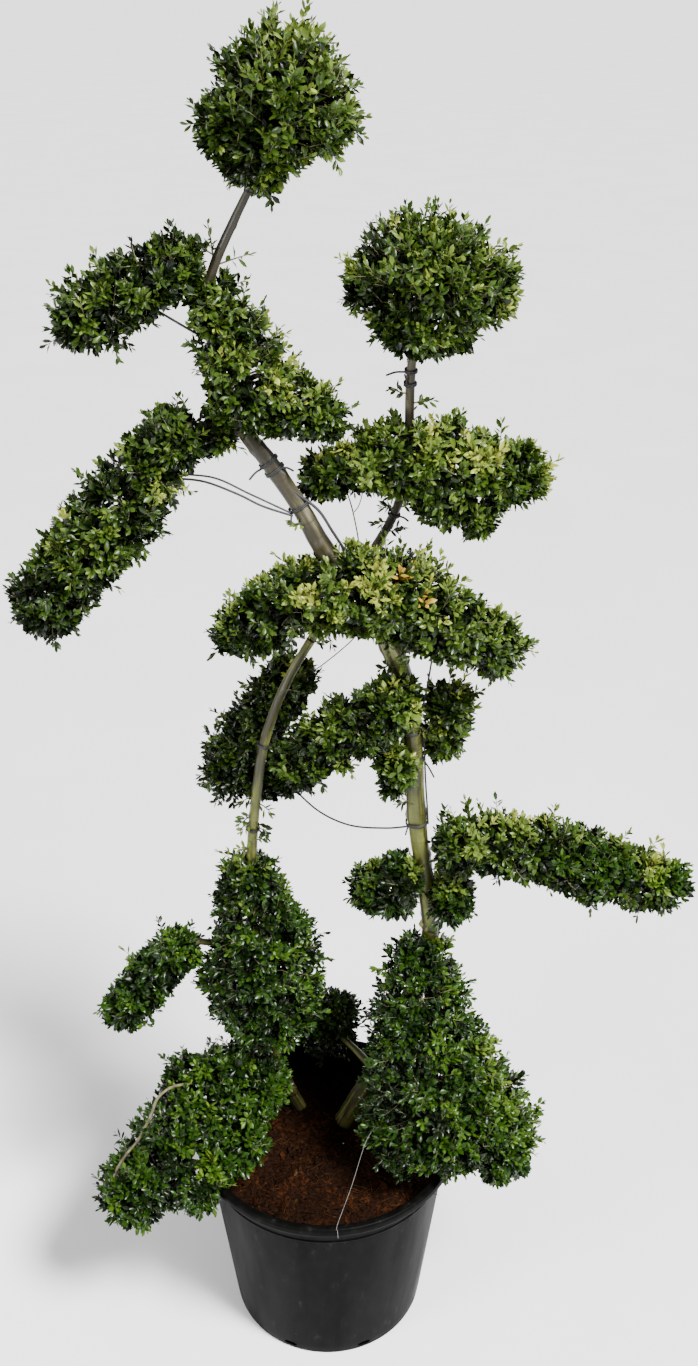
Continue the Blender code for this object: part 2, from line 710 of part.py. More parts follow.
def place_leaf(root, forward, around, rng, is_free, middles):
    """Corners of a leaf that stands as steeply and as long as its space lets it, or None."""
    roll = rng.uniform(-0.35, 0.35)
    for reach in LEAF_REACHES:
        for steep in LEAF_STEEPNESS:
            rise = math.radians(steep)
            heading = (around * math.cos(rise) + forward * math.sin(rise)).normalized()
            face = forward + around.cross(forward) * roll - heading * forward.dot(heading)
            size = LEAF_LENGTH * reach
            corners = leaf_points(root, root + heading * size, face, size * LEAF_WIDTH)
            middle = root + heading * size * 0.6
            if any((middle - other).length < LEAF_SPACING for other in middles):
                continue
            tests = corners + [corners[lengthwise].lerp(corners[crosswise], 0.5)
                               for lengthwise in (0, 1) for crosswise in (2, 3)]
            if all(is_free(p) for p in tests):
                middles.append(middle)
                return corners
    return None


def twigs_and_leaves(chains, other_chains, limbs, rng):
    """Twigs out of the core to near the outside, each with leaves along it and at its end."""
    def is_free(point):
        return free_point(point, chains, other_chains, limbs)

    pieces = []
    middles = []
    for outside, centre in twig_targets(chains, rng):
        forward = (outside - centre).normalized()
        sideways = forward.orthogonal().normalized()
        start = centre.lerp(outside, TWIG_START)
        spin = rng.uniform(0.0, 2.0 * math.pi)
        around = Matrix.Rotation(spin, 3, forward) @ sideways
        for share in TWIG_ENDS:
            end = centre.lerp(outside, share)
            if not all(is_free(start.lerp(end, t)) for t in (0.0, 0.25, 0.5, 0.75, 1.0)):
                continue
            leaf = place_leaf(end, forward, around, rng, is_free, middles)
            if leaf:
                pieces.append(twig_solid(start, end, leaf))
                break
        else:
            continue
        for k in range(SIDE_LEAVES):
            around = Matrix.Rotation(spin + LEAF_TURN * (k + 1), 3, forward) @ sideways
            root = end - forward * (LEAF_STEP * (k + 1))
            leaf = place_leaf(root, forward, around, rng, is_free, middles)
            if leaf:
                pieces.append(add_object("leaf", leaf, LEAF_FACES, None))
    return pieces


def stem_piece(carrier_name, carrier, chain):
    """The stem of a mass: from the tip of its bough, or out of the trunk, along its first chain."""
    tip, tip_radius = carrier.route[-1]
    if (tip - chain.centres[0]).length < chain.reach * 1.3:
        heading = (tip - carrier.route[-2][0]).normalized()
        first = tip + heading * GAP
        radius = tip_radius
        path = chain.centres
    else:
        near = min(range(len(chain.centres)), key=lambda k: carrier.clearance(chain.centres[k]))
        path = chain.centres[near:]
        first, radius = carrier.nearest(path[0])
        radius *= 0.5
        heading = (path[0] - first).normalized()
    radius = max(radius, 0.0035)
    points = [(*(first + heading * ahead), radius) for ahead in (0.0, 0.004, 0.008)]
    for k, centre in enumerate(path):
        points.append((*centre, radius * (0.8 - 0.4 * k / len(path))))
    return limb_mesh("stem", points, STEM_SIDES, None)


def make_foliage(name, number, limbs, material):
    """One mass of foliage: core, stem, twigs and leaves fused, and cut clear of the limbs."""
    carrier_name, own = FOLIAGE[name]
    chains = [Chain(*item) for item in own]
    other_chains = []
    for other_name, (_, others) in FOLIAGE.items():
        if other_name != name:
            other_chains += [Chain(*item) for item in others]
    near = {}
    for limb_name, limb in limbs.items():
        if any(limb.clearance(c) < chain.reach * 1.2 for chain in chains for c in chain.centres):
            near[limb_name] = limb
    rng = random.Random(1000 + number)
    mass = core_piece(chains[0], rng)
    mass.name = name
    mass.data.materials.append(material)
    pieces = [core_piece(chain, rng) for chain in chains[1:]]
    pieces.append(stem_piece(carrier_name, limbs[carrier_name], chains[0]))
    apply_boolean(mass, "UNION", pieces, SOLVER_OF_MASSES)
    cutters = []
    for limb_name, limb in near.items():
        cutters.append(limb_mesh("cutter", limb.points, limb.sides, None, GAP, limb.foot))
    if any(c.z - chain.reach < POT_HEIGHT for chain in chains for c in chain.centres):
        cutters.append(pot_cutter())
    if cutters:
        apply_boolean(mass, "DIFFERENCE", cutters, SOLVER_OF_MASSES)
        keep_main_shell(mass.data)
    leaves = twigs_and_leaves(chains, other_chains, list(near.values()), rng)
    if leaves:
        apply_boolean(mass, "UNION", leaves, SOLVER_OF_MASSES)
    keep_main_shell(mass.data)
    mass.data.name = name
    return mass


def build():
    """Make every piece of the plant and its pot."""
    for obj in list(bpy.data.objects):
        bpy.data.objects.remove(obj)
    bark = principled("bark", (0.36, 0.31, 0.22), 0.72)
    leaves = principled("leaves", (0.045, 0.105, 0.028), 0.45)
    pot_plastic = principled("pot_plastic", (0.020, 0.020, 0.022), 0.38)
    growing_mix = principled("growing_mix", (0.075, 0.032, 0.018), 0.95)

    make_pot(pot_plastic)
    make_soil(growing_mix)

    limbs = {
        "main_trunk": Limb(MAIN_TRUNK, TRUNK_SIDES, True),
        "left_stem": Limb(LEFT_STEM, TRUNK_SIDES, True),
    }
    for name, limb in list(limbs.items()):
        obj = limb_mesh(name, limb.points, limb.sides, bark, foot=True)
        obj.data.shade_smooth()
    for name, (carrier, points) in BOUGHS.items():
        limbs[name] = Limb(points, BOUGH_SIDES, False)
        obj = limb_mesh(name, points, BOUGH_SIDES, bark)
        parent = limbs[carrier]
        cutter = limb_mesh("cutter", parent.points, parent.sides, None, GAP, parent.foot)
        apply_boolean(obj, "DIFFERENCE", [cutter])
        keep_main_shell(obj.data)

    for number, name in enumerate(FOLIAGE):
        make_foliage(name, number, limbs, leaves)


build()
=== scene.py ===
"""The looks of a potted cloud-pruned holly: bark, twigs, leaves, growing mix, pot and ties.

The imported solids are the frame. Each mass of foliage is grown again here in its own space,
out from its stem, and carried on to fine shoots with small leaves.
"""
import json
import math

import bmesh
import bpy
import numpy as np
from mathutils import Matrix, Vector

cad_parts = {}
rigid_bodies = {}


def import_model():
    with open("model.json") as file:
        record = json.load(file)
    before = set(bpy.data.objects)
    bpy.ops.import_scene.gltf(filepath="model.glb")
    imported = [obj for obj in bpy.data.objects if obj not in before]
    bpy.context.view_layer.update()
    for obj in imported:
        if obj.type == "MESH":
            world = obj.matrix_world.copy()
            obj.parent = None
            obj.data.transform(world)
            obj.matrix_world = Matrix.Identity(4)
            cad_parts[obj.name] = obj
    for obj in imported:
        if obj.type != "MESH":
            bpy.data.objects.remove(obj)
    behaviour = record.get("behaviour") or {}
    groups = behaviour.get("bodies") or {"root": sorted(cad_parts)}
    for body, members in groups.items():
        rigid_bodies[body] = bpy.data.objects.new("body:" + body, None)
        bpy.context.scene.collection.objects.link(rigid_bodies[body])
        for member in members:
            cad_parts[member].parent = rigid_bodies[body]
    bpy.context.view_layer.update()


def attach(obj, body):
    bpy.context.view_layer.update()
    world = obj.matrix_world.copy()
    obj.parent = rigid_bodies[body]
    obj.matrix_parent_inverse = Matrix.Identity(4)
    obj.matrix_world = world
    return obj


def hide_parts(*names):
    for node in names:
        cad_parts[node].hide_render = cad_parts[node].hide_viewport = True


BODY = "root"
UP = np.array([0.0, 0.0, 1.0])

# Camera: a full-length view from above, looking down
IMAGE_LONG_SIDE = 1366
FOCAL_PIXELS = 1400.0
SENSOR = 36.0
CAMERA_PLACE = (0.036, -1.714, 2.056)
CAMERA_DOWN = 27.3      # degrees below level

# Pot, as in the solids
POT_HEIGHT = 0.350
POT_BASE_RADIUS = 0.158
POT_WALL_RADIUS = 0.194
POT_WALL_TOP = 0.302
POT_BAND_RADIUS = 0.1985
POT_RIM_RADIUS = 0.214
POT_RIM_HEIGHT = 0.016
POT_THICKNESS = 0.0035
POT_FLOOR = 0.0045
POT_SIDES = 144
DRAIN_COUNT = 8
DRAIN_WIDTH = 0.022
DRAIN_HEIGHT = 0.010

# Growing mix
SOIL_TOP = 0.300
SOIL_EDGE_DROP = 0.010
SOIL_FLAT_RADIUS = 0.135
CHIP_COUNT = 4200
FIBRE_COUNT = 1100
GRAIN_COUNT = 12
FIBRE_RADIUS = 0.00040
SOIL_RINGS = 70
SOIL_SIDES = 220

# Limbs
LIMB_SIDES = 26
RING_STEP = 0.0045
ROUTE_STEP = 0.015      # between the points of a limb's route that masses and ties use
FLARE_HEIGHT = 0.035
FLARE_GAIN = 0.12
FLARE_BUTTRESSES = 5
COLLAR_LENGTH = 0.022   # over which a bough swells where it leaves its limb
SCAR_SPACING = 0.035    # along a limb, between scars of old shoots
BARK_RING_SPACING = 0.060

# Foliage
SPRAYS_PER_SQUARE_METRE = 900
SPRAY_TRIES = 3.0       # places tried for each spray that the spacing leaves
SPRAY_SPACING = 0.026
SPRAY_DOME = 0.17       # how far a spray's rim lies back, of the way to the axis
SHOOTS_PER_SQUARE_METRE = 6800
INNER_SHARE = 0.38      # shoots inside the mass
INNER_SWELL = 1.35      # how much larger their leaves are
STRAY_SHARE = 0.15      # shoots that missed the shears
STRAY_REACH = (0.004, 0.023)
SHOOT_LENGTH = 0.030
LONGEST_TWIG = 0.060    # from a spray's anchor to the foot of a shoot
BRANCHLET_RADII = (0.0019, 0.0012)
SHOOT_RADII = (0.0010, 0.0008, 0.0004)
LIMB_SHOOT_RADII = (0.0014, 0.0006)
LEAVES_PER_SHOOT = 9
LEAF_LENGTH = 0.0142
LEAF_WIDTH = 0.45
LEAF_TURN = 2.4         # radians round the shoot from one leaf to the next
LIMB_CLEARANCE = 0.002
NEAR_LIMB = 0.18        # a limb within this of a mass's axis is kept clear
POT_CLEARANCE = 0.004
BACK_REACH = 0.242      # no leaf reaches farther back than this, to keep to the solids' box

# Limbs: way points (x, y, z, radius) from root to tip, as in the solids

MAIN_TRUNK = [
    (0.029, 0.064, SOIL_TOP, 0.0175),
    (0.052, 0.062, 0.355, 0.0158),
    (0.080, 0.060, 0.416, 0.0154),
    (0.126, 0.052, 0.552, 0.0150),
    (0.161, 0.046, 0.683, 0.0138),
    (0.153, 0.046, 0.807, 0.0136),
    (0.139, 0.050, 0.898, 0.0142),
    (0.127, 0.050, 1.053, 0.0152),
    (0.108, 0.048, 1.165, 0.0150),
    (0.058, 0.042, 1.282, 0.0148),
    (0.004, 0.040, 1.351, 0.0140),
    (-0.029, 0.042, 1.412, 0.0128),
    (-0.068, 0.046, 1.472, 0.0115),
    (-0.103, 0.050, 1.520, 0.0102),
    (-0.129, 0.050, 1.590, 0.0090),
    (-0.140, 0.050, 1.681, 0.0070),
    (-0.130, 0.050, 1.722, 0.0062),
    (-0.106, 0.050, 1.771, 0.0056),
    (-0.084, 0.050, 1.812, 0.0050),
]

LEFT_STEM = [
    (-0.048, 0.095, SOIL_TOP, 0.0115),
    (-0.067, 0.098, 0.345, 0.0106),
    (-0.097, 0.100, 0.445, 0.0098),
    (-0.116, 0.090, 0.621, 0.0088),
    (-0.114, 0.080, 0.826, 0.0080),
    (-0.100, 0.080, 0.967, 0.0078),
    (-0.083, 0.082, 1.052, 0.0074),
    (-0.045, 0.095, 1.143, 0.0069),
    (0.028, 0.116, 1.259, 0.0066),
    (0.079, 0.120, 1.335, 0.0064),
    (0.106, 0.110, 1.400, 0.0064),
    (0.115, 0.100, 1.472, 0.0063),
    (0.116, 0.090, 1.563, 0.0062),
    (0.118, 0.086, 1.604, 0.0060),
]

BOUGHS = {
    "bough_left_long": [
        (-0.100, 0.050, 1.516, 0.0078),
        (-0.128, 0.049, 1.521, 0.0066),
        (-0.152, 0.048, 1.521, 0.0058),
    ],
    "bough_right_small": [
        (0.128, 0.050, 1.040, 0.0070),
        (0.150, 0.054, 1.060, 0.0058),
        (0.161, 0.057, 1.076, 0.0050),
    ],
    "bough_right_long": [
        (0.159, 0.046, 0.722, 0.0105),
        (0.180, 0.042, 0.775, 0.0092),
        (0.194, 0.037, 0.828, 0.0082),
        (0.205, 0.033, 0.864, 0.0076),
    ],
    "bough_left_small_arm": [
        (-0.116, 0.088, 0.640, 0.0072),
        (-0.160, 0.076, 0.664, 0.0060),
        (-0.200, 0.064, 0.679, 0.0052),
    ],
    "bough_back_tuft": [
        (0.078, 0.066, 0.410, 0.0064),
        (0.052, 0.104, 0.414, 0.0056),
        (0.026, 0.136, 0.418, 0.0050),
    ],
    "bough_lower_left": [
        (-0.063, 0.097, 0.336, 0.0080),
        (-0.076, 0.070, 0.362, 0.0072),
        (-0.086, 0.050, 0.382, 0.0066),
    ],
}

# Masses of foliage, as in the solids: the limb that carries each one, and its bars. A station is
# x, y, z, half depth and half thickness, and a bar ends in two round caps of the given lengths.
FOLIAGE = {
    "top_ball": ("main_trunk", [
        ([(-0.078, 0.050, 1.846, 0.054, 0.052), (-0.044, 0.050, 1.906, 0.096, 0.098)],
         0.036, 0.095),
        ([(-0.108, 0.042, 1.886, 0.046, 0.042)], 0.046, 0.046),
        ([(0.006, 0.056, 1.890, 0.052, 0.046)], 0.048, 0.046),
    ]),
    "top_left_pad": ("main_trunk", [
        ([(-0.176, 0.050, 1.727, 0.050, 0.042), (-0.236, 0.050, 1.694, 0.056, 0.050),
          (-0.290, 0.048, 1.661, 0.048, 0.047)], 0.038, 0.048),
    ]),
    "upper_left": ("main_trunk", [
        ([(-0.133, 0.050, 1.684, 0.040, 0.034), (-0.108, 0.050, 1.628, 0.060, 0.060),
          (-0.088, 0.050, 1.570, 0.066, 0.070)], 0.032, 0.060),
        ([(-0.070, 0.048, 1.560, 0.056, 0.054), (-0.012, 0.046, 1.541, 0.044, 0.041)],
         0.034, 0.052),
    ]),
    "left_long_pad": ("bough_left_long", [
        ([(-0.193, 0.046, 1.509, 0.052, 0.047), (-0.284, 0.038, 1.390, 0.064, 0.064),
          (-0.372, 0.030, 1.284, 0.054, 0.055)],
         0.040, 0.054),
        ([(-0.152, 0.046, 1.511, 0.036, 0.032), (-0.136, 0.046, 1.516, 0.032, 0.027)],
         0.034, 0.028),
    ]),
    "right_ball": ("left_stem", [
        ([(0.116, 0.082, 1.646, 0.064, 0.066), (0.138, 0.080, 1.700, 0.098, 0.100)],
         0.042, 0.090),
        ([(0.208, 0.078, 1.690, 0.056, 0.048)], 0.052, 0.050),
        ([(0.068, 0.082, 1.694, 0.050, 0.042)], 0.048, 0.048),
        ([(0.170, 0.080, 1.642, 0.044, 0.034)], 0.036, 0.036),
    ]),
    "right_upper_pad": ("left_stem", [
        ([(0.006, 0.084, 1.444, 0.046, 0.032), (0.078, 0.082, 1.467, 0.068, 0.048),
          (0.160, 0.080, 1.467, 0.074, 0.062), (0.258, 0.078, 1.449, 0.058, 0.048)],
         0.042, 0.054),
        ([(0.156, 0.076, 1.424, 0.056, 0.048), (0.204, 0.072, 1.402, 0.054, 0.046)],
         0.040, 0.046),
    ]),
    "middle_pad": ("main_trunk", [
        ([(-0.112, 0.040, 1.234, 0.050, 0.041), (-0.050, 0.030, 1.282, 0.068, 0.055),
          (0.040, 0.022, 1.308, 0.084, 0.064), (0.110, 0.020, 1.292, 0.084, 0.068),
          (0.180, 0.024, 1.248, 0.070, 0.058), (0.238, 0.030, 1.216, 0.052, 0.046)],
         0.044, 0.048),
    ]),
    "behind_left_stem": ("left_stem", [
        ([(-0.054, 0.140, 1.102, 0.052, 0.042), (-0.095, 0.148, 1.039, 0.060, 0.047),
          (-0.134, 0.146, 0.966, 0.064, 0.064)], 0.046, 0.070),
        ([(-0.100, 0.140, 0.954, 0.054, 0.048), (-0.058, 0.134, 0.952, 0.050, 0.045)],
         0.034, 0.044),
    ]),
    "cross_pad": ("main_trunk", [
        ([(0.104, 0.008, 1.136, 0.046, 0.044), (0.020, 0.032, 1.072, 0.054, 0.052),
          (-0.034, 0.046, 1.022, 0.048, 0.044)], 0.038, 0.044),
    ]),
    "trunk_tuft": ("main_trunk", [
        ([(0.103, 0.026, 1.020, 0.038, 0.027)], 0.054, 0.054),
    ]),
    "right_small_pad": ("bough_right_small", [
        ([(0.180, 0.058, 1.101, 0.048, 0.041), (0.170, 0.062, 1.046, 0.040, 0.032)],
         0.044, 0.034),
    ]),
    "right_long_pad": ("bough_right_long", [
        ([(0.200, 0.030, 0.884, 0.054, 0.046), (0.286, 0.022, 0.894, 0.066, 0.048),
          (0.384, 0.018, 0.860, 0.066, 0.055), (0.496, 0.010, 0.832, 0.050, 0.047)],
         0.044, 0.056),
    ]),
    "left_small_pad": ("main_trunk", [
        ([(0.116, 0.034, 0.828, 0.042, 0.040), (0.078, 0.046, 0.796, 0.048, 0.046)],
         0.034, 0.042),
        ([(0.112, 0.038, 0.784, 0.036, 0.032)], 0.032, 0.034),
    ]),
    "fork_tuft": ("bough_right_long", [
        ([(0.190, 0.026, 0.796, 0.044, 0.036)], 0.050, 0.050),
    ]),
    "left_cone": ("left_stem", [
        ([(-0.120, 0.072, 0.796, 0.054, 0.053), (-0.100, 0.064, 0.712, 0.076, 0.080),
          (-0.110, 0.054, 0.624, 0.092, 0.110), (-0.088, 0.044, 0.552, 0.074, 0.084)],
         0.042, 0.062),
    ]),
    "left_small_arm": ("bough_left_small_arm", [
        ([(-0.236, 0.052, 0.672, 0.044, 0.039), (-0.278, 0.044, 0.626, 0.048, 0.045),
          (-0.317, 0.040, 0.573, 0.044, 0.042)], 0.038, 0.048),
    ]),
    "back_tuft": ("bough_back_tuft", [
        ([(-0.004, 0.178, 0.421, 0.064, 0.066)], 0.057, 0.064),
    ]),
    "lower_left_pad": ("bough_lower_left", [
        ([(-0.116, 0.024, 0.428, 0.070, 0.062), (-0.184, -0.022, 0.408, 0.104, 0.073),
          (-0.248, -0.062, 0.362, 0.104, 0.072), (-0.304, -0.094, 0.312, 0.078, 0.064)],
         0.056, 0.064),
        ([(-0.140, -0.064, 0.394, 0.064, 0.055), (-0.204, -0.118, 0.355, 0.060, 0.054)],
         0.046, 0.050),
        ([(-0.150, 0.010, 0.462, 0.056, 0.042), (-0.226, 0.000, 0.440, 0.060, 0.046)],
         0.040, 0.044),
    ]),
    "right_cone": ("main_trunk", [
        ([(0.150, 0.034, 0.672, 0.056, 0.052), (0.146, 0.008, 0.590, 0.080, 0.086),
          (0.162, -0.022, 0.500, 0.100, 0.120), (0.206, -0.056, 0.410, 0.108, 0.142)],
         0.048, 0.068),
        ([(0.124, -0.050, 0.400, 0.076, 0.080)], 0.050, 0.052),
        ([(0.279, -0.062, 0.370, 0.070, 0.055)], 0.050, 0.052),
    ]),
}

# Training wires: radius and way points, each on the limbs and masses that hold it
TIE_RADIUS = 0.0014
STRING_RADIUS = 0.00036
WIRES = [
    (0.0014, [(-0.205, 0.048, 1.462), (-0.189, 0.046, 1.457), (-0.140, 0.040, 1.453),
              (-0.094, 0.034, 1.433), (-0.040, 0.032, 1.407)]),
    (0.0016, [(-0.205, 0.048, 1.448), (-0.189, 0.046, 1.450), (-0.153, 0.042, 1.447),
              (-0.110, 0.036, 1.432), (-0.078, 0.032, 1.417), (-0.038, 0.030, 1.404)]),
    (0.0017, [(-0.215, 0.050, 1.676), (-0.200, 0.050, 1.666), (-0.167, 0.050, 1.646),
              (-0.140, 0.050, 1.630)]),
    (0.0015, [(-0.064, 0.116, 0.956), (-0.046, 0.110, 0.931), (-0.008, 0.090, 0.904),
              (0.038, 0.070, 0.893), (0.090, 0.050, 0.901), (0.128, 0.040, 0.911)]),
    (0.0021, [(-0.036, 0.036, 1.436), (-0.005, 0.034, 1.411), (0.013, 0.030, 1.384),
              (0.030, 0.030, 1.356)]),
    (0.0009, [(-0.022, 0.104, 1.140), (-0.009, 0.090, 1.149), (0.040, 0.060, 1.208),
              (0.052, 0.046, 1.240)]),
    (0.0014, [(0.158, 0.036, 1.215), (0.153, 0.040, 1.195), (0.145, 0.045, 1.129),
              (0.136, 0.047, 1.088)]),
    (0.0014, [(0.1415, 0.042, 1.076), (0.1445, 0.040, 1.050), (0.148, 0.041, 0.990),
              (0.152, 0.043, 0.940), (0.154, 0.045, 0.912)]),
    (0.0018, [(0.156, 0.033, 0.852), (0.163, 0.032, 0.825), (0.166, 0.033, 0.790)]),
]
# Ties: limb, height of the turns and the end of the tail
TIES = [
    ("main_trunk", 1.474, (-0.094, 0.030, 1.454)),
    ("main_trunk", 1.458, (-0.036, 0.030, 1.466)),
    ("main_trunk", 1.408, (-0.041, 0.022, 1.392)),
    ("left_stem", 1.577, (0.084, 0.085, 1.577)),
    ("left_stem", 1.564, (0.108, 0.078, 1.580)),
    ("left_stem", 1.022, None),
    ("left_stem", 0.875, (-0.084, 0.072, 0.862)),
    ("left_stem", 1.374, (0.118, 0.100, 1.370)),
    ("main_trunk", 1.066, None),
    ("main_trunk", 1.020, (0.160, 0.036, 0.998)),
    ("main_trunk", 0.906, (0.120, 0.034, 0.899)),
]
STRING = [(0.078, -0.080, 0.432), (0.061, -0.100, 0.412), (0.040, -0.155, 0.380),
          (0.018, -0.205, 0.3515), (0.0185, -0.2125, 0.3500), (0.019, -0.2150, 0.3440),
          (0.0195, -0.2150, 0.3360), (0.020, -0.2045, 0.3250)]
# Small shoots on bare limbs: limb, height of the root, and where the tip lies from it
LIMB_SHOOTS = [
    ("main_trunk", 1.722, (-0.006, 0.000, 0.054)),
    ("main_trunk", 1.716, (0.046, -0.006, 0.016)),
    ("main_trunk", 1.730, (-0.026, -0.008, 0.020)),
    ("left_stem", 1.365, (-0.024, -0.008, 0.002)),
    ("left_stem", 1.385, (-0.022, -0.010, 0.004)),
    ("left_stem", 1.402, (-0.020, -0.010, 0.008)),
    ("left_stem", 1.392, (0.022, -0.010, 0.012)),
    ("left_stem", 1.348, (0.024, -0.012, 0.010)),
    ("left_stem", 1.545, (-0.026, -0.014, 0.012)),
    ("left_stem", 1.535, (0.030, -0.012, 0.010)),
    ("left_stem", 1.610, (-0.026, -0.010, 0.014)),
    ("left_stem", 1.600, (0.020, -0.018, 0.010)),
    ("left_stem", 1.180, (0.026, -0.014, 0.012)),
    ("left_stem", 1.110, (0.024, -0.016, 0.004)),
    ("left_stem", 0.862, (0.022, -0.014, 0.010)),
    ("left_stem", 0.850, (-0.020, -0.016, 0.010)),
    ("main_trunk", 0.990, (-0.030, -0.010, 0.006)),
    ("main_trunk", 0.975, (-0.032, -0.012, -0.014)),
    ("main_trunk", 0.962, (-0.028, -0.014, -0.006)),
    ("main_trunk", 0.700, (-0.036, -0.012, 0.010)),
    ("main_trunk", 0.705, (0.034, -0.018, 0.014)),
    ("main_trunk", 1.385, (-0.026, -0.014, 0.006)),
    ("main_trunk", 1.185, (-0.024, -0.030, 0.004)),
    ("main_trunk", 1.175, (0.008, -0.036, 0.010)),
    ("main_trunk", 1.160, (-0.030, -0.026, -0.006)),
    ("main_trunk", 1.155, (0.032, -0.022, -0.004)),
    ("main_trunk", 1.145, (-0.006, -0.036, -0.010)),
    ("main_trunk", 1.130, (-0.026, -0.030, -0.012)),
    ("main_trunk", 1.125, (0.030, -0.024, -0.016)),
    ("main_trunk", 1.110, (0.004, -0.034, -0.018)),
    ("main_trunk", 1.100, (-0.028, -0.024, -0.020)),
    ("main_trunk", 1.085, (0.030, -0.020, -0.014)),
    ("left_stem", 0.940, (-0.026, -0.014, -0.008)),
    ("left_stem", 0.932, (0.026, -0.016, -0.010)),
    ("left_stem", 0.915, (-0.024, -0.014, -0.014)),
    ("left_stem", 0.902, (0.022, -0.014, -0.012)),
    ("left_stem", 0.890, (-0.020, -0.012, -0.014)),
]
BARE_TWIGS = [
    (0.0024, [(-0.215, -0.020, 0.462), (-0.244, -0.046, 0.478), (-0.264, -0.062, 0.470),
              (-0.275, -0.074, 0.446), (-0.294, -0.088, 0.411), (-0.313, -0.096, 0.388),
              (-0.329, -0.104, 0.364), (-0.338, -0.112, 0.340), (-0.342, -0.118, 0.318)]),
    (0.0011, [(0.026, 0.085, 1.440), (0.031, 0.085, 1.424), (0.040, 0.085, 1.395),
              (0.048, 0.082, 1.356), (0.050, 0.078, 1.334)]),
    (0.0008, [(0.043, 0.085, 1.389), (0.050, 0.085, 1.400), (0.056, 0.085, 1.424)]),
]

# Leaf tints, from the painted shade inside a mass to new growth on top: lit and shaded copies of one
# green, dealt by light
LEAF_TINTS = {
    "leaf_shade": (0.0035, 0.008, 0.001),
    "leaf_dark": (0.010, 0.023, 0.002),
    "leaf_mid": (0.030, 0.058, 0.006),
    # The lighter steps are painted light on the outside and top of a mass, as well as the yellow-green
    # of new growth
    "leaf_lit_fresh": (0.086, 0.130, 0.018),
    "leaf_new": (0.225, 0.260, 0.040),
    "leaf_low_dark": (0.004, 0.014, 0.001),
    "leaf_low_mid": (0.012, 0.035, 0.002),
    # Painted light as well as new growth, as above, in the deeper green of the low masses
    "leaf_low_lit_fresh": (0.034, 0.074, 0.005),
    "leaf_low_new": (0.085, 0.140, 0.012),
    "leaf_bronze": (0.300, 0.190, 0.022),
}
# Sprays low down take darker, purer green tints: partly their own green, partly painted shade where the
# light falls off downward
LOW_TINTS = 4           # from a tint to the deeper one of the masses near the pot
LOW_HEIGHT = 0.70       # sprays under this take the deeper tints, and none over this and the blend
LOW_BLEND = 0.25
TINT_STEPS = (0.12, 0.42, 0.80, 1.14)   # of light, from one tint to the next
TIP_LIGHT = 0.34        # how much lighter a shoot is at its tip than at its foot
# Masses that stand in the shade of others
SHADED = {"behind_left_stem": 0.20, "cross_pad": 0.10, "back_tuft": 0.14, "top_left_pad": 0.24,
          "left_small_pad": 0.16, "left_long_pad": 0.14}
# Clusters of new leaves of another colour: place, reach and tint
NEW_CLUSTERS = [((0.104, -0.005, 1.345), 0.017, "leaf_bronze"),
                ((0.135, -0.03, 1.322), 0.010, "leaf_bronze"),
                ((0.072, -0.03, 1.335), 0.024, "leaf_new"),
                ((-0.020, -0.03, 1.310), 0.020, "leaf_new"),
                ((-0.206, 0.004, 1.438), 0.016, "leaf_new")]

# Growing mix: dark and light of each tint
MIX_TINTS = {
    "mix_dark": ((0.0040, 0.0013, 0.0004), (0.012, 0.004, 0.0010)),
    "mix_red_brown": ((0.009, 0.0026, 0.0005), (0.028, 0.008, 0.0016)),
    "mix_rust": ((0.013, 0.0038, 0.001), (0.036, 0.011, 0.0025)),
    "mix_tan": ((0.024, 0.010, 0.004), (0.060, 0.029, 0.010)),
}

# Studio: the soft lights' place, target, size, power and colour, and the light from overhead
FLOOR_HALF = 400.0
SURROUND_STRENGTH = 0.50
SOFT_LIGHTS = {
    "key": ((1.3, -1.7, 3.3), (0.0, 0.0, 1.2), 0.8, 110.0, (1.0, 0.99, 0.96)),
    "fill": ((-2.2, -1.8, 2.0), (0.0, 0.0, 0.9), 0.9, 90.0, (1.0, 1.0, 1.0)),
}
OVERHEAD_POWER = 8.8
OVERHEAD_SPREAD = 14.0   # degrees
OVERHEAD_DIRECTION = (-0.55, 0.46, -1.0)


# Materials

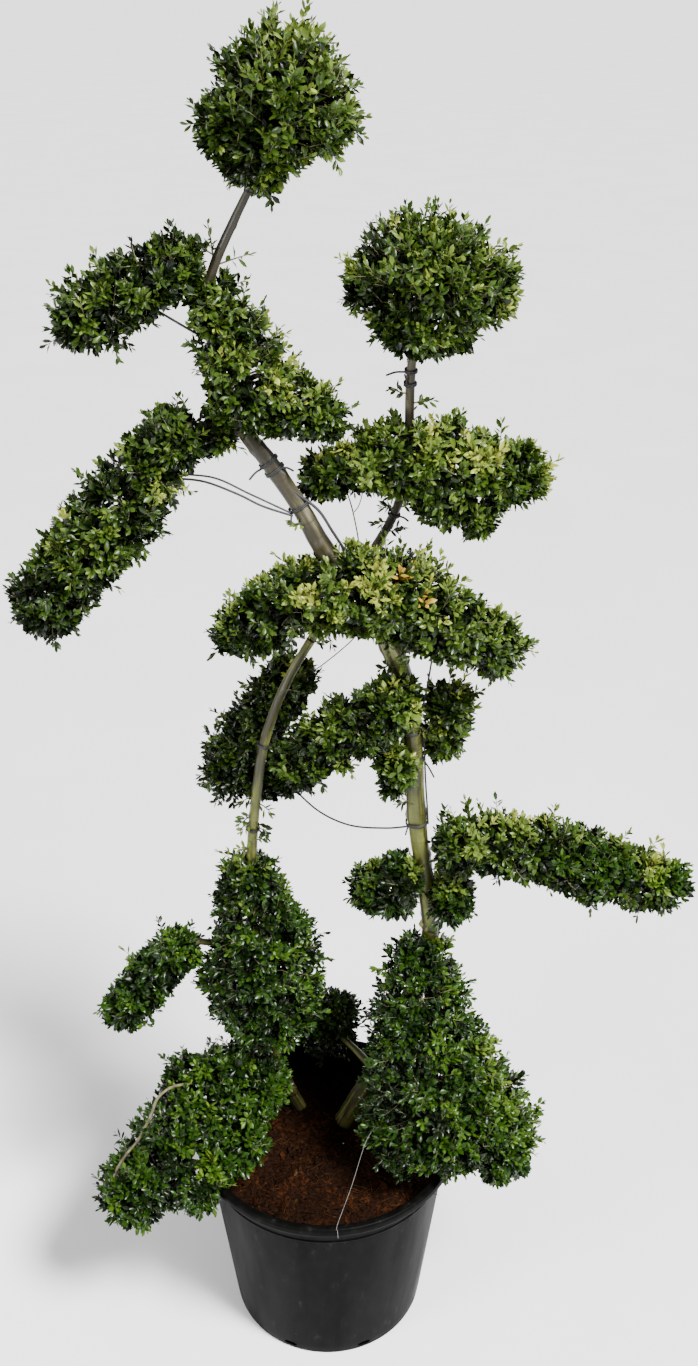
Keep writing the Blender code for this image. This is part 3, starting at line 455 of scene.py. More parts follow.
class Shader:
    """A material's node tree with its Principled shader at hand."""

    def __init__(self, name, colour, roughness, along_limb=False):
        self.material = bpy.data.materials.new(name)
        self.material.use_nodes = True
        self.material.diffuse_color = (*colour, 1.0)
        self.nodes = self.material.node_tree.nodes
        self.links = self.material.node_tree.links
        self.main = self.nodes["Principled BSDF"]
        self.main.inputs["Base Color"].default_value = (*colour, 1.0)
        self.main.inputs["Roughness"].default_value = roughness
        self.object_place = self.nodes.new("ShaderNodeTexCoord").outputs["Object"]
        self.place = self.object_place
        if along_limb:
            attribute = self.nodes.new("ShaderNodeAttribute")
            attribute.attribute_name = "along_limb"
            self.place = attribute.outputs["Vector"]

    def noise(self, scale, detail=4.0, stretch=(1.0, 1.0, 1.0)):
        """A noise pattern in the object's own space, or along its limb."""
        mapping = self.nodes.new("ShaderNodeMapping")
        mapping.inputs["Scale"].default_value = stretch
        self.links.new(self.place, mapping.inputs["Vector"])
        noise = self.nodes.new("ShaderNodeTexNoise")
        noise.inputs["Scale"].default_value = scale
        noise.inputs["Detail"].default_value = detail
        self.links.new(mapping.outputs["Vector"], noise.inputs["Vector"])
        return noise.outputs["Fac"]

    def height(self, low, high):
        """0 at one height above the floor and 1 at another."""
        separate = self.nodes.new("ShaderNodeSeparateXYZ")
        self.links.new(self.object_place, separate.inputs["Vector"])
        span = self.nodes.new("ShaderNodeMapRange")
        span.inputs["From Min"].default_value = low
        span.inputs["From Max"].default_value = high
        self.links.new(separate.outputs["Z"], span.inputs["Value"])
        return span.outputs["Result"]

    def ramp(self, factor, stops):
        """Colours along a factor, as (place, colour) pairs."""
        ramp = self.nodes.new("ShaderNodeValToRGB")
        elements = ramp.color_ramp.elements
        elements[0].position = stops[0][0]
        elements[0].color = (*stops[0][1], 1.0)
        elements[1].position = stops[-1][0]
        elements[1].color = (*stops[-1][1], 1.0)
        for place, colour in stops[1:-1]:
            element = elements.new(place)
            element.color = (*colour, 1.0)
        self.links.new(factor, ramp.inputs["Fac"])
        return ramp.outputs["Color"]

    def mix(self, factor, first, second):
        """One colour over another."""
        mix = self.nodes.new("ShaderNodeMix")
        mix.data_type = "RGBA"
        self.links.new(factor, mix.inputs[0])
        self.links.new(first, mix.inputs[6])
        self.links.new(second, mix.inputs[7])
        return mix.outputs[2]

    def colour(self, output):
        """The base colour."""
        self.links.new(output, self.main.inputs["Base Color"])

    def rough(self, factor, low, high):
        """Roughness that follows a pattern."""
        span = self.nodes.new("ShaderNodeMapRange")
        span.inputs["From Min"].default_value = 0.3
        span.inputs["From Max"].default_value = 0.7
        span.inputs["To Min"].default_value = low
        span.inputs["To Max"].default_value = high
        self.links.new(factor, span.inputs["Value"])
        self.links.new(span.outputs["Result"], self.main.inputs["Roughness"])

    def bump(self, factor, depth, strength=1.0):
        """Relief that follows a pattern, in metres."""
        bump = self.nodes.new("ShaderNodeBump")
        bump.inputs["Strength"].default_value = strength
        bump.inputs["Distance"].default_value = depth
        self.links.new(factor, bump.inputs["Height"])
        self.links.new(bump.outputs["Normal"], self.main.inputs["Normal"])


def bark_material():
    """Smooth olive bark: grey-brown above, green with algae below, streaked along and ringed. The
    grey-brown is darker as painted shade under the foliage, the green and the foot paler as painted
    light.
    """
    shader = Shader("holly_bark", (0.16, 0.15, 0.08), 0.6, along_limb=True)
    shader.main.inputs["Specular IOR Level"].default_value = 0.35
    streaks = shader.noise(120.0, 4.0, (1.0, 1.0, 0.06))
    patches = shader.noise(26.0, 5.0, (1.0, 1.0, 0.35))
    rings = shader.noise(420.0, 2.0, (0.05, 0.05, 1.0))
    # Grey-brown of the upper trunk: its own colour, darkened further as painted shade of the foliage
    # over it
    brown = shader.ramp(patches, [(0.40, (0.006, 0.005, 0.002)), (0.51, (0.020, 0.016, 0.006)),
                                  (0.60, (0.056, 0.048, 0.022)), (0.72, (0.200, 0.185, 0.120))])
    # Algae green of the stems: its own colour, brightened as painted light
    green = shader.ramp(patches, [(0.36, (0.026, 0.028, 0.004)), (0.48, (0.080, 0.088, 0.014)),
                                  (0.58, (0.160, 0.168, 0.038)), (0.72, (0.280, 0.285, 0.100))])
    # Olive foot: its own colour, made paler as painted light where the foot stands in shade
    foot = shader.ramp(patches, [(0.38, (0.045, 0.046, 0.008)), (0.52, (0.115, 0.112, 0.026)),
                                 (0.66, (0.200, 0.190, 0.062))])
    body = shader.mix(shader.height(1.32, 1.14), brown, green)
    body = shader.mix(shader.height(0.44, 0.34), body, foot)
    dark = shader.ramp(streaks, [(0.0, (0.007, 0.006, 0.002)), (1.0, (0.020, 0.017, 0.006))])
    grooves = shader.ramp(streaks, [(0.48, (0.0, 0.0, 0.0)), (0.58, (0.92, 0.92, 0.92))])
    streaked = shader.mix(grooves, body, dark)
    marks = shader.ramp(rings, [(0.58, (0.0, 0.0, 0.0)), (0.67, (0.6, 0.6, 0.6))])
    shader.colour(shader.mix(marks, streaked, dark))
    shader.rough(patches, 0.36, 0.62)
    shader.bump(streaks, 0.0010)
    return shader.material


def twig_material():
    """Young twigs, greenish brown."""
    shader = Shader("holly_twig", (0.080, 0.068, 0.030), 0.65)
    shader.colour(shader.ramp(shader.noise(90.0), [(0.35, (0.034, 0.028, 0.012)),
                                                   (0.65, (0.135, 0.125, 0.050))]))
    return shader.material


def leaf_material(name, colour):
    """A glossy leaf of one tint."""
    shader = Shader(name, colour, 0.34)
    shader.main.inputs["Specular IOR Level"].default_value = 0.26
    shader.rough(shader.noise(420.0, 2.0), 0.24, 0.40)
    return shader.material


def plastic_material():
    """Moulded black plastic, satin, with faint scuffs and upright streaks of dust."""
    shader = Shader("pot_black_plastic", (0.004, 0.004, 0.004), 0.42)
    shader.main.inputs["Specular IOR Level"].default_value = 0.02
    streaks = shader.noise(22.0, 5.0, (1.0, 1.0, 0.12))
    dust = shader.noise(75.0, 6.0, (1.0, 1.0, 0.45))
    shader.colour(shader.ramp(dust, [(0.42, (0.0018, 0.0018, 0.0017)),
                                     (0.64, (0.0030, 0.0030, 0.0028)),
                                     (0.82, (0.018, 0.017, 0.015))]))
    shader.rough(streaks, 0.36, 0.54)
    shader.bump(shader.noise(300.0, 3.0), 0.00012)
    return shader.material


def mix_material(name, dark, light):
    """Damp growing mix of one tint, mottled and rough."""
    shader = Shader(name, dark, 0.9)
    shader.main.inputs["Specular IOR Level"].default_value = 0.06
    shader.colour(shader.ramp(shader.noise(260.0, 4.0), [(0.38, dark), (0.66, light)]))
    shader.bump(shader.noise(600.0, 3.0), 0.0006)
    return shader.material


def plain_material(name, dark, light, scale, roughness):
    """A plain finish with a slight unevenness of colour."""
    shader = Shader(name, light, roughness)
    shader.colour(shader.ramp(shader.noise(scale), [(0.35, dark), (0.65, light)]))
    return shader.material


# Mesh helpers

def unit(vectors):
    """Vectors made one long."""
    return vectors / np.maximum(np.linalg.norm(vectors, axis=-1, keepdims=True), 1e-12)


def ripple(points, wavelength, seed):
    """A smooth random pattern from -1 to 1 over points in space."""
    rng = np.random.default_rng(seed)
    waves = unit(rng.normal(size=(8, 3))) * rng.uniform(0.7, 1.5, (8, 1)) * 2.0 * math.pi / wavelength
    phases = rng.uniform(0.0, 2.0 * math.pi, 8)
    return np.sin(points @ waves.T + phases).sum(axis=-1) / 4.0


def make_piece(name, verts, triangles, materials, nodes, tints=None, smooth=True):
    """A mesh piece of the object from arrays of points and triangles."""
    mesh = bpy.data.meshes.new(name)
    mesh.vertices.add(len(verts))
    mesh.vertices.foreach_set("co", np.asarray(verts, np.float32).ravel())
    mesh.loops.add(triangles.size)
    mesh.loops.foreach_set("vertex_index", triangles.astype(np.int32).ravel())
    mesh.polygons.add(len(triangles))
    mesh.polygons.foreach_set("loop_start", np.arange(0, triangles.size, 3, dtype=np.int32))
    mesh.polygons.foreach_set("use_smooth", np.full(len(triangles), smooth))
    if tints is not None:
        mesh.polygons.foreach_set("material_index", np.asarray(tints, np.int32))
    for material in materials:
        mesh.materials.append(material)
    mesh.update(calc_edges=True)
    piece = bpy.data.objects.new(name, mesh)
    bpy.context.scene.collection.objects.link(piece)
    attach(piece, BODY)
    if nodes:
        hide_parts(*nodes)
    return piece


def grid_triangles(rows, columns, closed=True):
    """Triangles of a grid of points, its rows closed into rings or left open."""
    across = columns if closed else columns - 1
    row, column = np.meshgrid(np.arange(rows - 1), np.arange(across), indexing="ij")
    a = row * columns + column
    b = row * columns + (column + 1) % columns
    quads = np.stack([a, b, b + columns, a + columns], axis=-1).reshape(-1, 4)
    return np.concatenate([quads[:, [0, 1, 2]], quads[:, [0, 2, 3]]])


def fan_triangles(ring, centre, outwards=True):
    """Triangles from a ring of point numbers to a centre point."""
    following = np.roll(ring, -1)
    if not outwards:
        ring, following = following, ring
    return np.stack([ring, following, np.full(len(ring), centre)], axis=-1)


def smooth_route(points, step):
    """A Catmull-Rom curve through way points, with a ring about every step."""
    known = np.array(points)
    ends = np.concatenate([[2.0 * known[0] - known[1]], known, [2.0 * known[-1] - known[-2]]])
    route = []
    for k in range(1, len(ends) - 2):
        p0, p1, p2, p3 = ends[k - 1:k + 3]
        count = max(2, int(round(np.linalg.norm((p2 - p1)[:3]) / step)))
        t = (np.arange(count) / count)[:, None]
        route.append(0.5 * (2.0 * p1 + (p2 - p0) * t + (2.0 * p0 - 5.0 * p1 + 4.0 * p2 - p3) * t ** 2
                            + (3.0 * p1 - p0 - 3.0 * p2 + p3) * t ** 3))
    route.append(known[-1:])
    return np.concatenate(route)


def ring_frames(centres, first_side=(0.0, -1.0, 0.0)):
    """Unit vectors along, beside and across a route, with no twist from ring to ring."""
    along = unit(np.gradient(centres, axis=0))
    side = np.empty_like(centres)
    current = np.array(first_side)
    for i, forward in enumerate(along):
        current = unit(current - forward * (current @ forward))
        side[i] = current
    return along, side, np.cross(along, side)


def many_tubes(paths, radii, sides):
    """Slim tubes along many short paths at once, closed to a face at their far end."""
    count, rings = radii.shape
    along = unit(np.gradient(paths, axis=1))
    overall = unit(paths[:, -1] - paths[:, 0])
    helper = np.where(np.abs(overall[:, 2:3]) < 0.8, UP, np.array([1.0, 0.0, 0.0]))
    side = unit(np.cross(overall, helper))[:, None]
    side = unit(side - along * (side * along).sum(axis=-1, keepdims=True))
    third = np.cross(along, side)
    angles = 2.0 * math.pi * np.arange(sides) / sides
    offsets = (side[:, :, None] * np.cos(angles)[:, None] + third[:, :, None] * np.sin(angles)[:, None])
    verts = (paths[:, :, None] + offsets * radii[:, :, None, None]).reshape(-1, 3)
    one = grid_triangles(rings, sides)
    top = (rings - 1) * sides
    cap = np.array([[top, top + k, top + k + 1] for k in range(1, sides - 1)])
    one = np.concatenate([one, cap])
    triangles = (one[None] + (np.arange(count) * rings * sides)[:, None, None]).reshape(-1, 3)
    return verts, triangles


def join_parts(parts):
    """One array of points and one of triangles from several."""
    verts = []
    triangles = []
    total = 0
    for part_verts, part_triangles in parts:
        verts.append(part_verts)
        triangles.append(part_triangles + total)
        total += len(part_verts)
    return np.concatenate(verts), np.concatenate(triangles)


def placed_copies(shape, triangles, places, axes, sizes):
    """Copies of a small shape: its points times each size, in each set of three axes, at each place."""
    verts = np.einsum("pk,nkc->npc", shape, axes) * sizes[:, None, None] + places[:, None]
    every = triangles[None] + (np.arange(len(places)) * len(shape))[:, None, None]
    return verts.reshape(-1, 3), every.reshape(-1, 3)


# Trunk, stem and boughs

def limb_piece(name, points, bark, seed, foot=False):
    """A limb with the relief of its bark: wrinkles, swellings and scars of old shoots."""
    route = smooth_route(points, RING_STEP)
    centres = route[:, :3]
    radius = route[:, 3]
    along, side, across = ring_frames(centres)
    length = np.concatenate([[0.0], np.cumsum(np.linalg.norm(np.diff(centres, axis=0), axis=1))])
    angles = 2.0 * math.pi * np.arange(LIMB_SIDES) / LIMB_SIDES
    wide = np.repeat(radius[:, None], LIMB_SIDES, axis=1)
    if foot:
        ridge = 0.75 + 0.25 * np.cos(FLARE_BUTTRESSES * angles)
        rise = (centres[:, 2] - centres[0, 2])[:, None]
        wide *= 1.0 + FLARE_GAIN * ridge * np.exp(-rise / FLARE_HEIGHT)
    else:
        wide *= 1.0 + 0.5 * np.exp(-length / COLLAR_LENGTH)[:, None]
    offsets = side[:, None] * np.cos(angles)[:, None] + across[:, None] * np.sin(angles)[:, None]
    surface = centres[:, None] + offsets * wide[:, :, None]
    relief = bark_relief(surface, length, angles, radius, seed)
    surface = surface + offsets * (relief * wide)[:, :, None]
    verts = surface.reshape(-1, 3)
    rings = len(centres)
    triangles = grid_triangles(rings, LIMB_SIDES)
    last_ring = np.arange(LIMB_SIDES) + (rings - 1) * LIMB_SIDES
    first_ring = np.arange(LIMB_SIDES)
    triangles = np.concatenate([triangles, fan_triangles(last_ring, len(verts)),
                                fan_triangles(first_ring, len(verts) + 1, False)])
    verts = np.concatenate([verts, [centres[-1] + along[-1] * radius[-1] * 0.5], [centres[0]]])
    piece = make_piece("bark_" + name, verts, triangles, [bark], [name])
    turned = np.stack([wide * np.cos(angles), wide * np.sin(angles),
                       np.repeat(length[:, None], LIMB_SIDES, axis=1)], axis=-1).reshape(-1, 3)
    turned = np.concatenate([turned, [(0.0, 0.0, length[-1]), (0.0, 0.0, 0.0)]])
    attribute = piece.data.attributes.new("along_limb", "FLOAT_VECTOR", "POINT")
    attribute.data.foreach_set("vector", turned.astype(np.float32).ravel())


def bark_relief(surface, length, angles, radius, seed):
    """Relief as a share of the radius: wrinkles along, roughness, swellings and scars."""
    lines = np.stack(np.broadcast_arrays(12.0 * np.cos(angles), 12.0 * np.sin(angles),
                                         length[:, None] * 40.0), axis=-1)
    relief = 0.045 * ripple(lines, 8.0, seed)
    relief += 0.018 * ripple(surface, 0.018, seed + 1)
    relief += 0.045 * ripple(surface, 0.090, seed + 2)
    relief += scar_relief(length, angles, radius, seed + 3)
    return relief - (relief.mean() + 0.02)


def scar_relief(length, angles, radius, seed):
    """Low rings and small knobs where shoots were cut off."""
    rng = np.random.default_rng(seed)
    relief = np.zeros((len(length), len(angles)))
    for _ in range(int(length[-1] / SCAR_SPACING) + 1):
        place = rng.uniform(0.02, length[-1])
        turn = rng.uniform(0.0, 2.0 * math.pi)
        local = np.interp(place, length, radius)
        apart = ((length - place)[:, None] / (0.45 * local)) ** 2
        round_part = (1.0 - np.cos(angles - turn))[None] / 0.10
        relief += rng.uniform(0.10, 0.28) * np.exp(-apart - round_part)
    for _ in range(int(length[-1] / BARK_RING_SPACING) + 1):
        place = rng.uniform(0.02, length[-1])
        relief += (rng.uniform(0.015, 0.05) * np.exp(-((length - place) / 0.0035) ** 2))[:, None]
    return relief


# Foliage

CAP_END = 0.98          # how far round a bar's end caps points are spread, of the way to the pole


class Bar:
    """Part of a mass's space: a rounded bar through its stations."""

    def __init__(self, stations, start_cap, end_cap):
        table = np.array(stations)
        self.centres = table[:, :3]
        self.depths = table[:, 3]
        self.thicks = table[:, 4]
        self.caps = (start_cap, end_cap)
        self.last = len(table) - 1
        if self.last == 0:
            self.along = -UP[None]
        else:
            self.along = unit(np.gradient(self.centres, axis=0))
        depth = np.array([0.0, 1.0, 0.0]) - self.along * self.along[:, 1:2]
        self.depth = unit(depth)
        self.thick = np.cross(self.along, self.depth)

    def outside(self, place, angle):
        """Points of the axis and of the outside, and the outside's area for each unit of both."""
        k = np.clip(np.floor(place).astype(int), 0, self.last)
        n = np.minimum(k + 1, self.last)
        t = np.where(k < self.last, np.clip(place - k, 0.0, 1.0), 0.0)[:, None]
        along = unit(self.along[k] * (1.0 - t) + self.along[n] * t)
        depth = unit(self.depth[k] * (1.0 - t) + self.depth[n] * t)
        thick = unit(self.thick[k] * (1.0 - t) + self.thick[n] * t)
        centre = self.centres[k] * (1.0 - t) + self.centres[n] * t
        half_depth = self.depths[k] * (1.0 - t[:, 0]) + self.depths[n] * t[:, 0]
        half_thick = self.thicks[k] * (1.0 - t[:, 0]) + self.thicks[n] * t[:, 0]
        over = np.where(place < 0.0, place, np.maximum(place - self.last, 0.0))
        cap = np.where(place < 0.0, self.caps[0], self.caps[1])
        latitude = over * math.pi / 2.0
        ring = (depth * (half_depth * np.cos(angle))[:, None]
                + thick * (half_thick * np.sin(angle))[:, None])
        offset = along * (cap * np.sin(latitude))[:, None] + ring * np.cos(latitude)[:, None]
        half = (half_depth + half_thick) / 2.0
        span = np.linalg.norm(self.centres[n] - self.centres[k], axis=1)
        on_cap = np.hypot(cap * np.cos(latitude), half * np.sin(latitude)) * math.pi / 2.0
        area = np.where(over == 0.0, span, on_cap) * half * np.cos(latitude)
        return centre, centre + offset, area

    def level(self, points):
        """0 on the bar's axis, 1 on its outside."""
        best = np.full(len(points), 10.0)
        for k in range(max(self.last, 1)):
            n = min(k + 1, self.last)
            a = self.centres[k]
            b = self.centres[n]
            reach = np.linalg.norm(b - a)
            along = unit(b - a) if n > k else -UP
            way = (points - a) @ along
            t = np.clip(way / reach, 0.0, 1.0) if reach else np.zeros(len(points))
            over = way - t * reach
            depth = unit(np.array([0.0, 1.0, 0.0]) - along * along[1])
            thick = np.cross(along, depth)
            offset = points - a - t[:, None] * (b - a)
            half_depth = self.depths[k] + (self.depths[n] - self.depths[k]) * t
            half_thick = self.thicks[k] + (self.thicks[n] - self.thicks[k]) * t
            start = self.caps[0] if k == 0 else half_thick
            end = self.caps[1] if n == self.last else half_thick
            cap = np.where(over < 0.0, start, end)
            squares = ((offset @ depth / half_depth) ** 2 + (offset @ thick / half_thick) ** 2
                       + (over / cap) ** 2)
            best = np.minimum(best, np.sqrt(squares))
        return best


def spread_points(bars, per_square_metre, rng):
    """Random points over the outside of a mass, even by area, with the axis point behind each."""
    centres = []
    outsides = []
    for number, bar in enumerate(bars):
        tries = 6000
        place = rng.uniform(-CAP_END, bar.last + CAP_END, tries)
        angle = rng.uniform(0.0, 2.0 * math.pi, tries)
        _, _, area = bar.outside(place, angle)
        whole = area.mean() * (bar.last + 2.0 * CAP_END) * 2.0 * math.pi
        chosen = rng.choice(tries, int(whole * per_square_metre), p=area / area.sum())
        place = place[chosen] + rng.normal(0.0, 0.01, len(chosen))
        angle = angle[chosen] + rng.normal(0.0, 0.03, len(chosen))
        centre, outside, _ = bar.outside(np.clip(place, -CAP_END, bar.last + CAP_END), angle)
        keep = np.full(len(outside), True)
        for other in bars[:number] + bars[number + 1:]:
            keep &= other.level(outside) > 0.90
        centres.append(centre[keep])
        outsides.append(outside[keep])
    return np.concatenate(centres), np.concatenate(outsides)


def clearance(points, route):
    """Distance from points to the surface of a limb."""
    best = np.full(len(points), 10.0)
    for (ax, ay, az, ar), (bx, by, bz, br) in zip(route, route[1:]):
        a = np.array([ax, ay, az])
        way = np.array([bx, by, bz]) - a
        t = np.clip((points - a) @ way / (way @ way), 0.0, 1.0)
        apart = np.linalg.norm(points - a - t[:, None] * way, axis=1)
        best = np.minimum(best, apart - (ar + (br - ar) * t))
    return best


def clear_of_pot(points):
    """True where points are clear of the pot's rim and above the growing mix."""
    radius = np.hypot(points[:, 0], points[:, 1])
    over_pot = radius < POT_RIM_RADIUS + POT_CLEARANCE
    low = points[:, 2] < POT_HEIGHT + POT_CLEARANCE
    inside = (radius < POT_BAND_RADIUS - 0.012) & (points[:, 2] > SOIL_TOP + POT_CLEARANCE)
    return ~(over_pot & low) | inside


def bent_paths(starts, middles, ends, rings):
    """Paths that leave the start, pass near the middle and reach the end."""
    t = np.linspace(0.0, 1.0, rings)[None, :, None]
    return (starts[:, None] * (1.0 - t) ** 2 + middles[:, None] * 2.0 * t * (1.0 - t)
            + ends[:, None] * t ** 2)


def mass_stem(carrier, carrier_tip, bars):
    """Way points of a mass's stem: from its bough's tip, or out of the trunk."""
    centres = bars[0].centres
    reach = max(bars[0].depths.max(), bars[0].thicks.max(), *bars[0].caps)
    if carrier_tip and np.linalg.norm(carrier[-1, :3] - centres[0]) < reach * 1.3:
        start = carrier[-1]
        path = centres
        radius = carrier[-1, 3]
    else:
        near = int(np.argmin(clearance(centres, carrier)))
        path = centres[near:]
        apart = np.linalg.norm(carrier[:, :3] - path[0], axis=1)
        start = carrier[int(np.argmin(apart))]
        radius = start[3] * 0.5
    radius = max(radius, 0.0035)
    points = [(*start[:3], radius)]
    for k, centre in enumerate(path):
        points.append((*centre, radius * (0.8 - 0.4 * k / len(path))))
    return points


def stem_tube(points):
    """Points and triangles of the stem that a mass grows from."""
    route = smooth_route(points, 0.008)
    return many_tubes(route[None, :, :3], route[None, :, 3], 8)


LEAF_SHAPE = np.array([
    (0.0, 0.0, 0.0), (0.72, 0.30, -0.05), (0.88, 0.66, -0.07), (0.0, 1.0, -0.10),
    (-0.88, 0.66, -0.07), (-0.72, 0.30, -0.05), (0.0, 0.52, 0.07),
]) * (LEAF_WIDTH / 2.0 / 0.88, 1.0, 1.0)
LEAF_TRIANGLES = np.array([(0, 1, 6), (1, 2, 6), (2, 3, 6), (3, 4, 6), (4, 5, 6), (5, 0, 6)])


def thinned(points, apart):
    """Numbers of points left when each is at least so far from those before it."""
    kept = []
    for number, point in enumerate(points):
        if not kept or np.linalg.norm(points[kept] - point, axis=1).min() > apart:
            kept.append(number)
    return np.array(kept)


def shoot_leaves(tips, directions, lengths, swell, rng):
    """Leaves spiralling down each shoot: places, axes, sizes, and the shoot each belongs to."""
    shoots = len(tips)
    row = np.arange(LEAVES_PER_SHOOT)
    helper = np.where(np.abs(directions[:, 2:3]) < 0.85, UP, np.array([1.0, 0.0, 0.0]))
    side = unit(np.cross(directions, helper))
    across = np.cross(directions, side)
    turn = rng.uniform(0.0, 2.0 * math.pi, (shoots, 1)) + row * LEAF_TURN
    turn = turn + rng.normal(0.0, 0.25, turn.shape)
    radial = side[:, None] * np.cos(turn)[:, :, None] + across[:, None] * np.sin(turn)[:, :, None]
    tilt = np.radians(np.clip(14.0 + 9.0 * row, 0.0, 58.0)) + rng.normal(0.0, 0.20, turn.shape)
    forward = directions[:, None]
    heading = forward * np.cos(tilt)[:, :, None] + radial * np.sin(tilt)[:, :, None]
    heading = unit(heading + rng.normal(0.0, 0.14, heading.shape))
    face = forward * 0.8 + UP * 0.45 + rng.normal(0.0, 0.38, heading.shape)
    face = unit(face - heading * (face * heading).sum(axis=-1, keepdims=True))
    width = np.cross(heading, face)
    share = (row + rng.uniform(0.0, 0.7, turn.shape)) / LEAVES_PER_SHOOT
    places = tips[:, None] - forward * (share * lengths[:, None])[:, :, None]
    sizes = LEAF_LENGTH * np.clip(0.60 + 0.14 * row, 0.0, 1.0) * rng.uniform(0.75, 1.20, turn.shape)
    sizes = sizes * swell[:, None]
    owner = np.repeat(np.arange(shoots), LEAVES_PER_SHOOT)
    axes = np.stack([width, heading, face], axis=2)
    return places.reshape(-1, 3), axes.reshape(-1, 3, 3), sizes.ravel(), owner


def light_of_shoots(depth, normals, young, tone, rng):
    """How lit and young each shoot is: more outside, on top and to the right, alike in a spray."""
    # Painted light and shade: lighter outside, on top and to the right where the lamps fall, darker deep
    # in the mass
    light = 0.50 - 2.2 * depth + 0.30 * normals[:, 2] + 0.14 * normals[:, 0]
    light = light + 0.50 * young + 0.20 * tone
    return light + rng.normal(0.0, 0.10, len(depth))


def tint_of_leaves(light, row, low, rng):
    """Number of the tint of each leaf: lighter toward the shoot's tip, deeper green and darker down low,
    partly as painted shade.
    """
    light = light + TIP_LIGHT * (0.5 - row / (LEAVES_PER_SHOOT - 1))
    light = light + rng.normal(0.0, 0.07, len(light))
    tints = np.digitize(light, TINT_STEPS)
    return np.where(low & (tints > 0), tints + LOW_TINTS, tints)


class Sprays:
    """The branchlets of a mass: each runs out from the stem and ends in a spray of shoots."""

    def __init__(self, bars, rng):
        centres, outsides = spread_points(bars, SPRAY_TRIES * SPRAYS_PER_SQUARE_METRE, rng)
        kept = thinned(outsides, SPRAY_SPACING)
        centres = centres[kept]
        count = len(kept)
        self.tops = outsides[kept]
        self.anchors = centres + (self.tops - centres) * rng.uniform(0.36, 0.54, (count, 1))
        self.lift = np.clip(rng.normal(0.975, 0.045, count), 0.86, 1.05)
        self.tone = rng.normal(0.0, 1.0, count)
        starts = centres + rng.normal(0.0, 0.004, centres.shape)
        bends = (starts + self.anchors) / 2.0 + UP * 0.005 + rng.normal(0.0, 0.004, centres.shape)
        self.paths = bent_paths(starts, bends, self.anchors, 4)

    def tubes(self):
        """The branchlets as slim tubes."""
        radii = np.tile(np.linspace(*BRANCHLET_RADII, 4), (len(self.paths), 1))
        return many_tubes(self.paths, radii, 4)


class Shoots:
    """The fine shoots of a mass: each runs from its spray's anchor to a tip at the outside."""

    def __init__(self, bars, sprays, number, rng):
        centres, outsides = spread_points(bars, SHOOTS_PER_SQUARE_METRE, rng)
        count = len(outsides)
        self.normals = unit(outsides - centres)
        self.spray, apart = nearest_points(outsides, sprays.tops)
        self.inner = rng.random(count) < INNER_SHARE
        self.depth = np.where(self.inner, rng.uniform(0.10, 0.58, count), rng.uniform(0.0, 0.06, count))
        crease = SPRAY_DOME * np.minimum(apart / SPRAY_SPACING, 1.0) ** 2
        envelope = sprays.lift[self.spray] - crease + 0.030 * ripple(outsides, 0.060, 50 + number)
        reach = np.minimum(envelope + rng.normal(0.0, 0.015, count), 1.05) - self.depth
        tips = centres + (outsides - centres) * reach[:, None]
        self.roots = sprays.anchors[self.spray]
        directions = unit(unit(tips - self.roots) + UP * 0.35 + rng.normal(0.0, 0.25, tips.shape))
        outward = (directions * self.normals).sum(axis=1)
        turned = np.maximum(0.35 - outward, 0.0)[:, None]
        self.directions = unit(directions + self.normals * turned)
        stray = (rng.random(count) < STRAY_SHARE) & ~self.inner
        past = np.where(stray, rng.uniform(*STRAY_REACH, count), 0.0)[:, None]
        self.tips = tips + unit(self.directions + UP * 0.3) * past
        self.lengths = np.minimum(SHOOT_LENGTH * rng.uniform(0.8, 1.25, count),
                                  0.85 * np.linalg.norm(self.tips - self.roots, axis=1))
        self.bases = self.tips - self.directions * self.lengths[:, None]

    def clear(self, near):
        """True where a shoot keeps to the mass's space, clear of the limbs near it and the pot."""
        clear = np.linalg.norm(self.roots - self.bases, axis=1) < LONGEST_TWIG
        clear &= clear_of_pot(self.tips) & clear_of_pot(self.bases)
        clear &= self.tips[:, 1] < BACK_REACH
        for route in near:
            clear &= clearance(self.tips, route) > LIMB_CLEARANCE
            clear &= clearance(self.bases, route) > 0.0
        return clear

    def tubes(self, shown):
        """The shoots that are shown, as three-sided tubes."""
        paths = np.stack([self.roots, self.bases, self.tips - self.directions * 0.002], axis=1)
        radii = np.tile(SHOOT_RADII, (len(self.tips), 1))
        return many_tubes(paths[shown], radii[shown], 3)


def leaves_clear(places, leaf_tips, near):
    """True where a leaf is clear of the limbs near it and of the pot, and not too far back."""
    clear = clear_of_pot(leaf_tips) & (leaf_tips[:, 1] < BACK_REACH)
    for route in near:
        clear &= clearance(leaf_tips, route) > LIMB_CLEARANCE
        clear &= clearance(places, route) > LIMB_CLEARANCE
    return clear


def deal_tints(name, sprays, shoots, owner, rng):
    """Number of the tint of each leaf of a mass."""
    tips = shoots.tips
    young = np.clip(0.6 * ripple(tips, 0.10, 7) + rng.normal(0.0, 0.45, len(tips)), 0.0, 1.0)
    young = young * np.clip((tips[:, 2] - LOW_HEIGHT) / 0.5, 0.10, 1.0)
    light = light_of_shoots(shoots.depth, shoots.normals, young, sprays.tone[shoots.spray], rng)
    light = light - SHADED.get(name, 0.0)
    low_to = rng.random(len(sprays.tops)) * LOW_BLEND + LOW_HEIGHT
    low = (low_to > sprays.tops[:, 2])[shoots.spray]
    row = np.arange(len(owner)) % LEAVES_PER_SHOOT
    tints = tint_of_leaves(light[owner], row, low[owner], rng)
    for place, reach, tint in NEW_CLUSTERS:
        reaches = reach * rng.uniform(0.0, 1.8, len(tips))
        close = np.linalg.norm(tips - np.array(place), axis=1) < reaches
        tints = np.where(close[owner], list(LEAF_TINTS).index(tint), tints)
    return tints


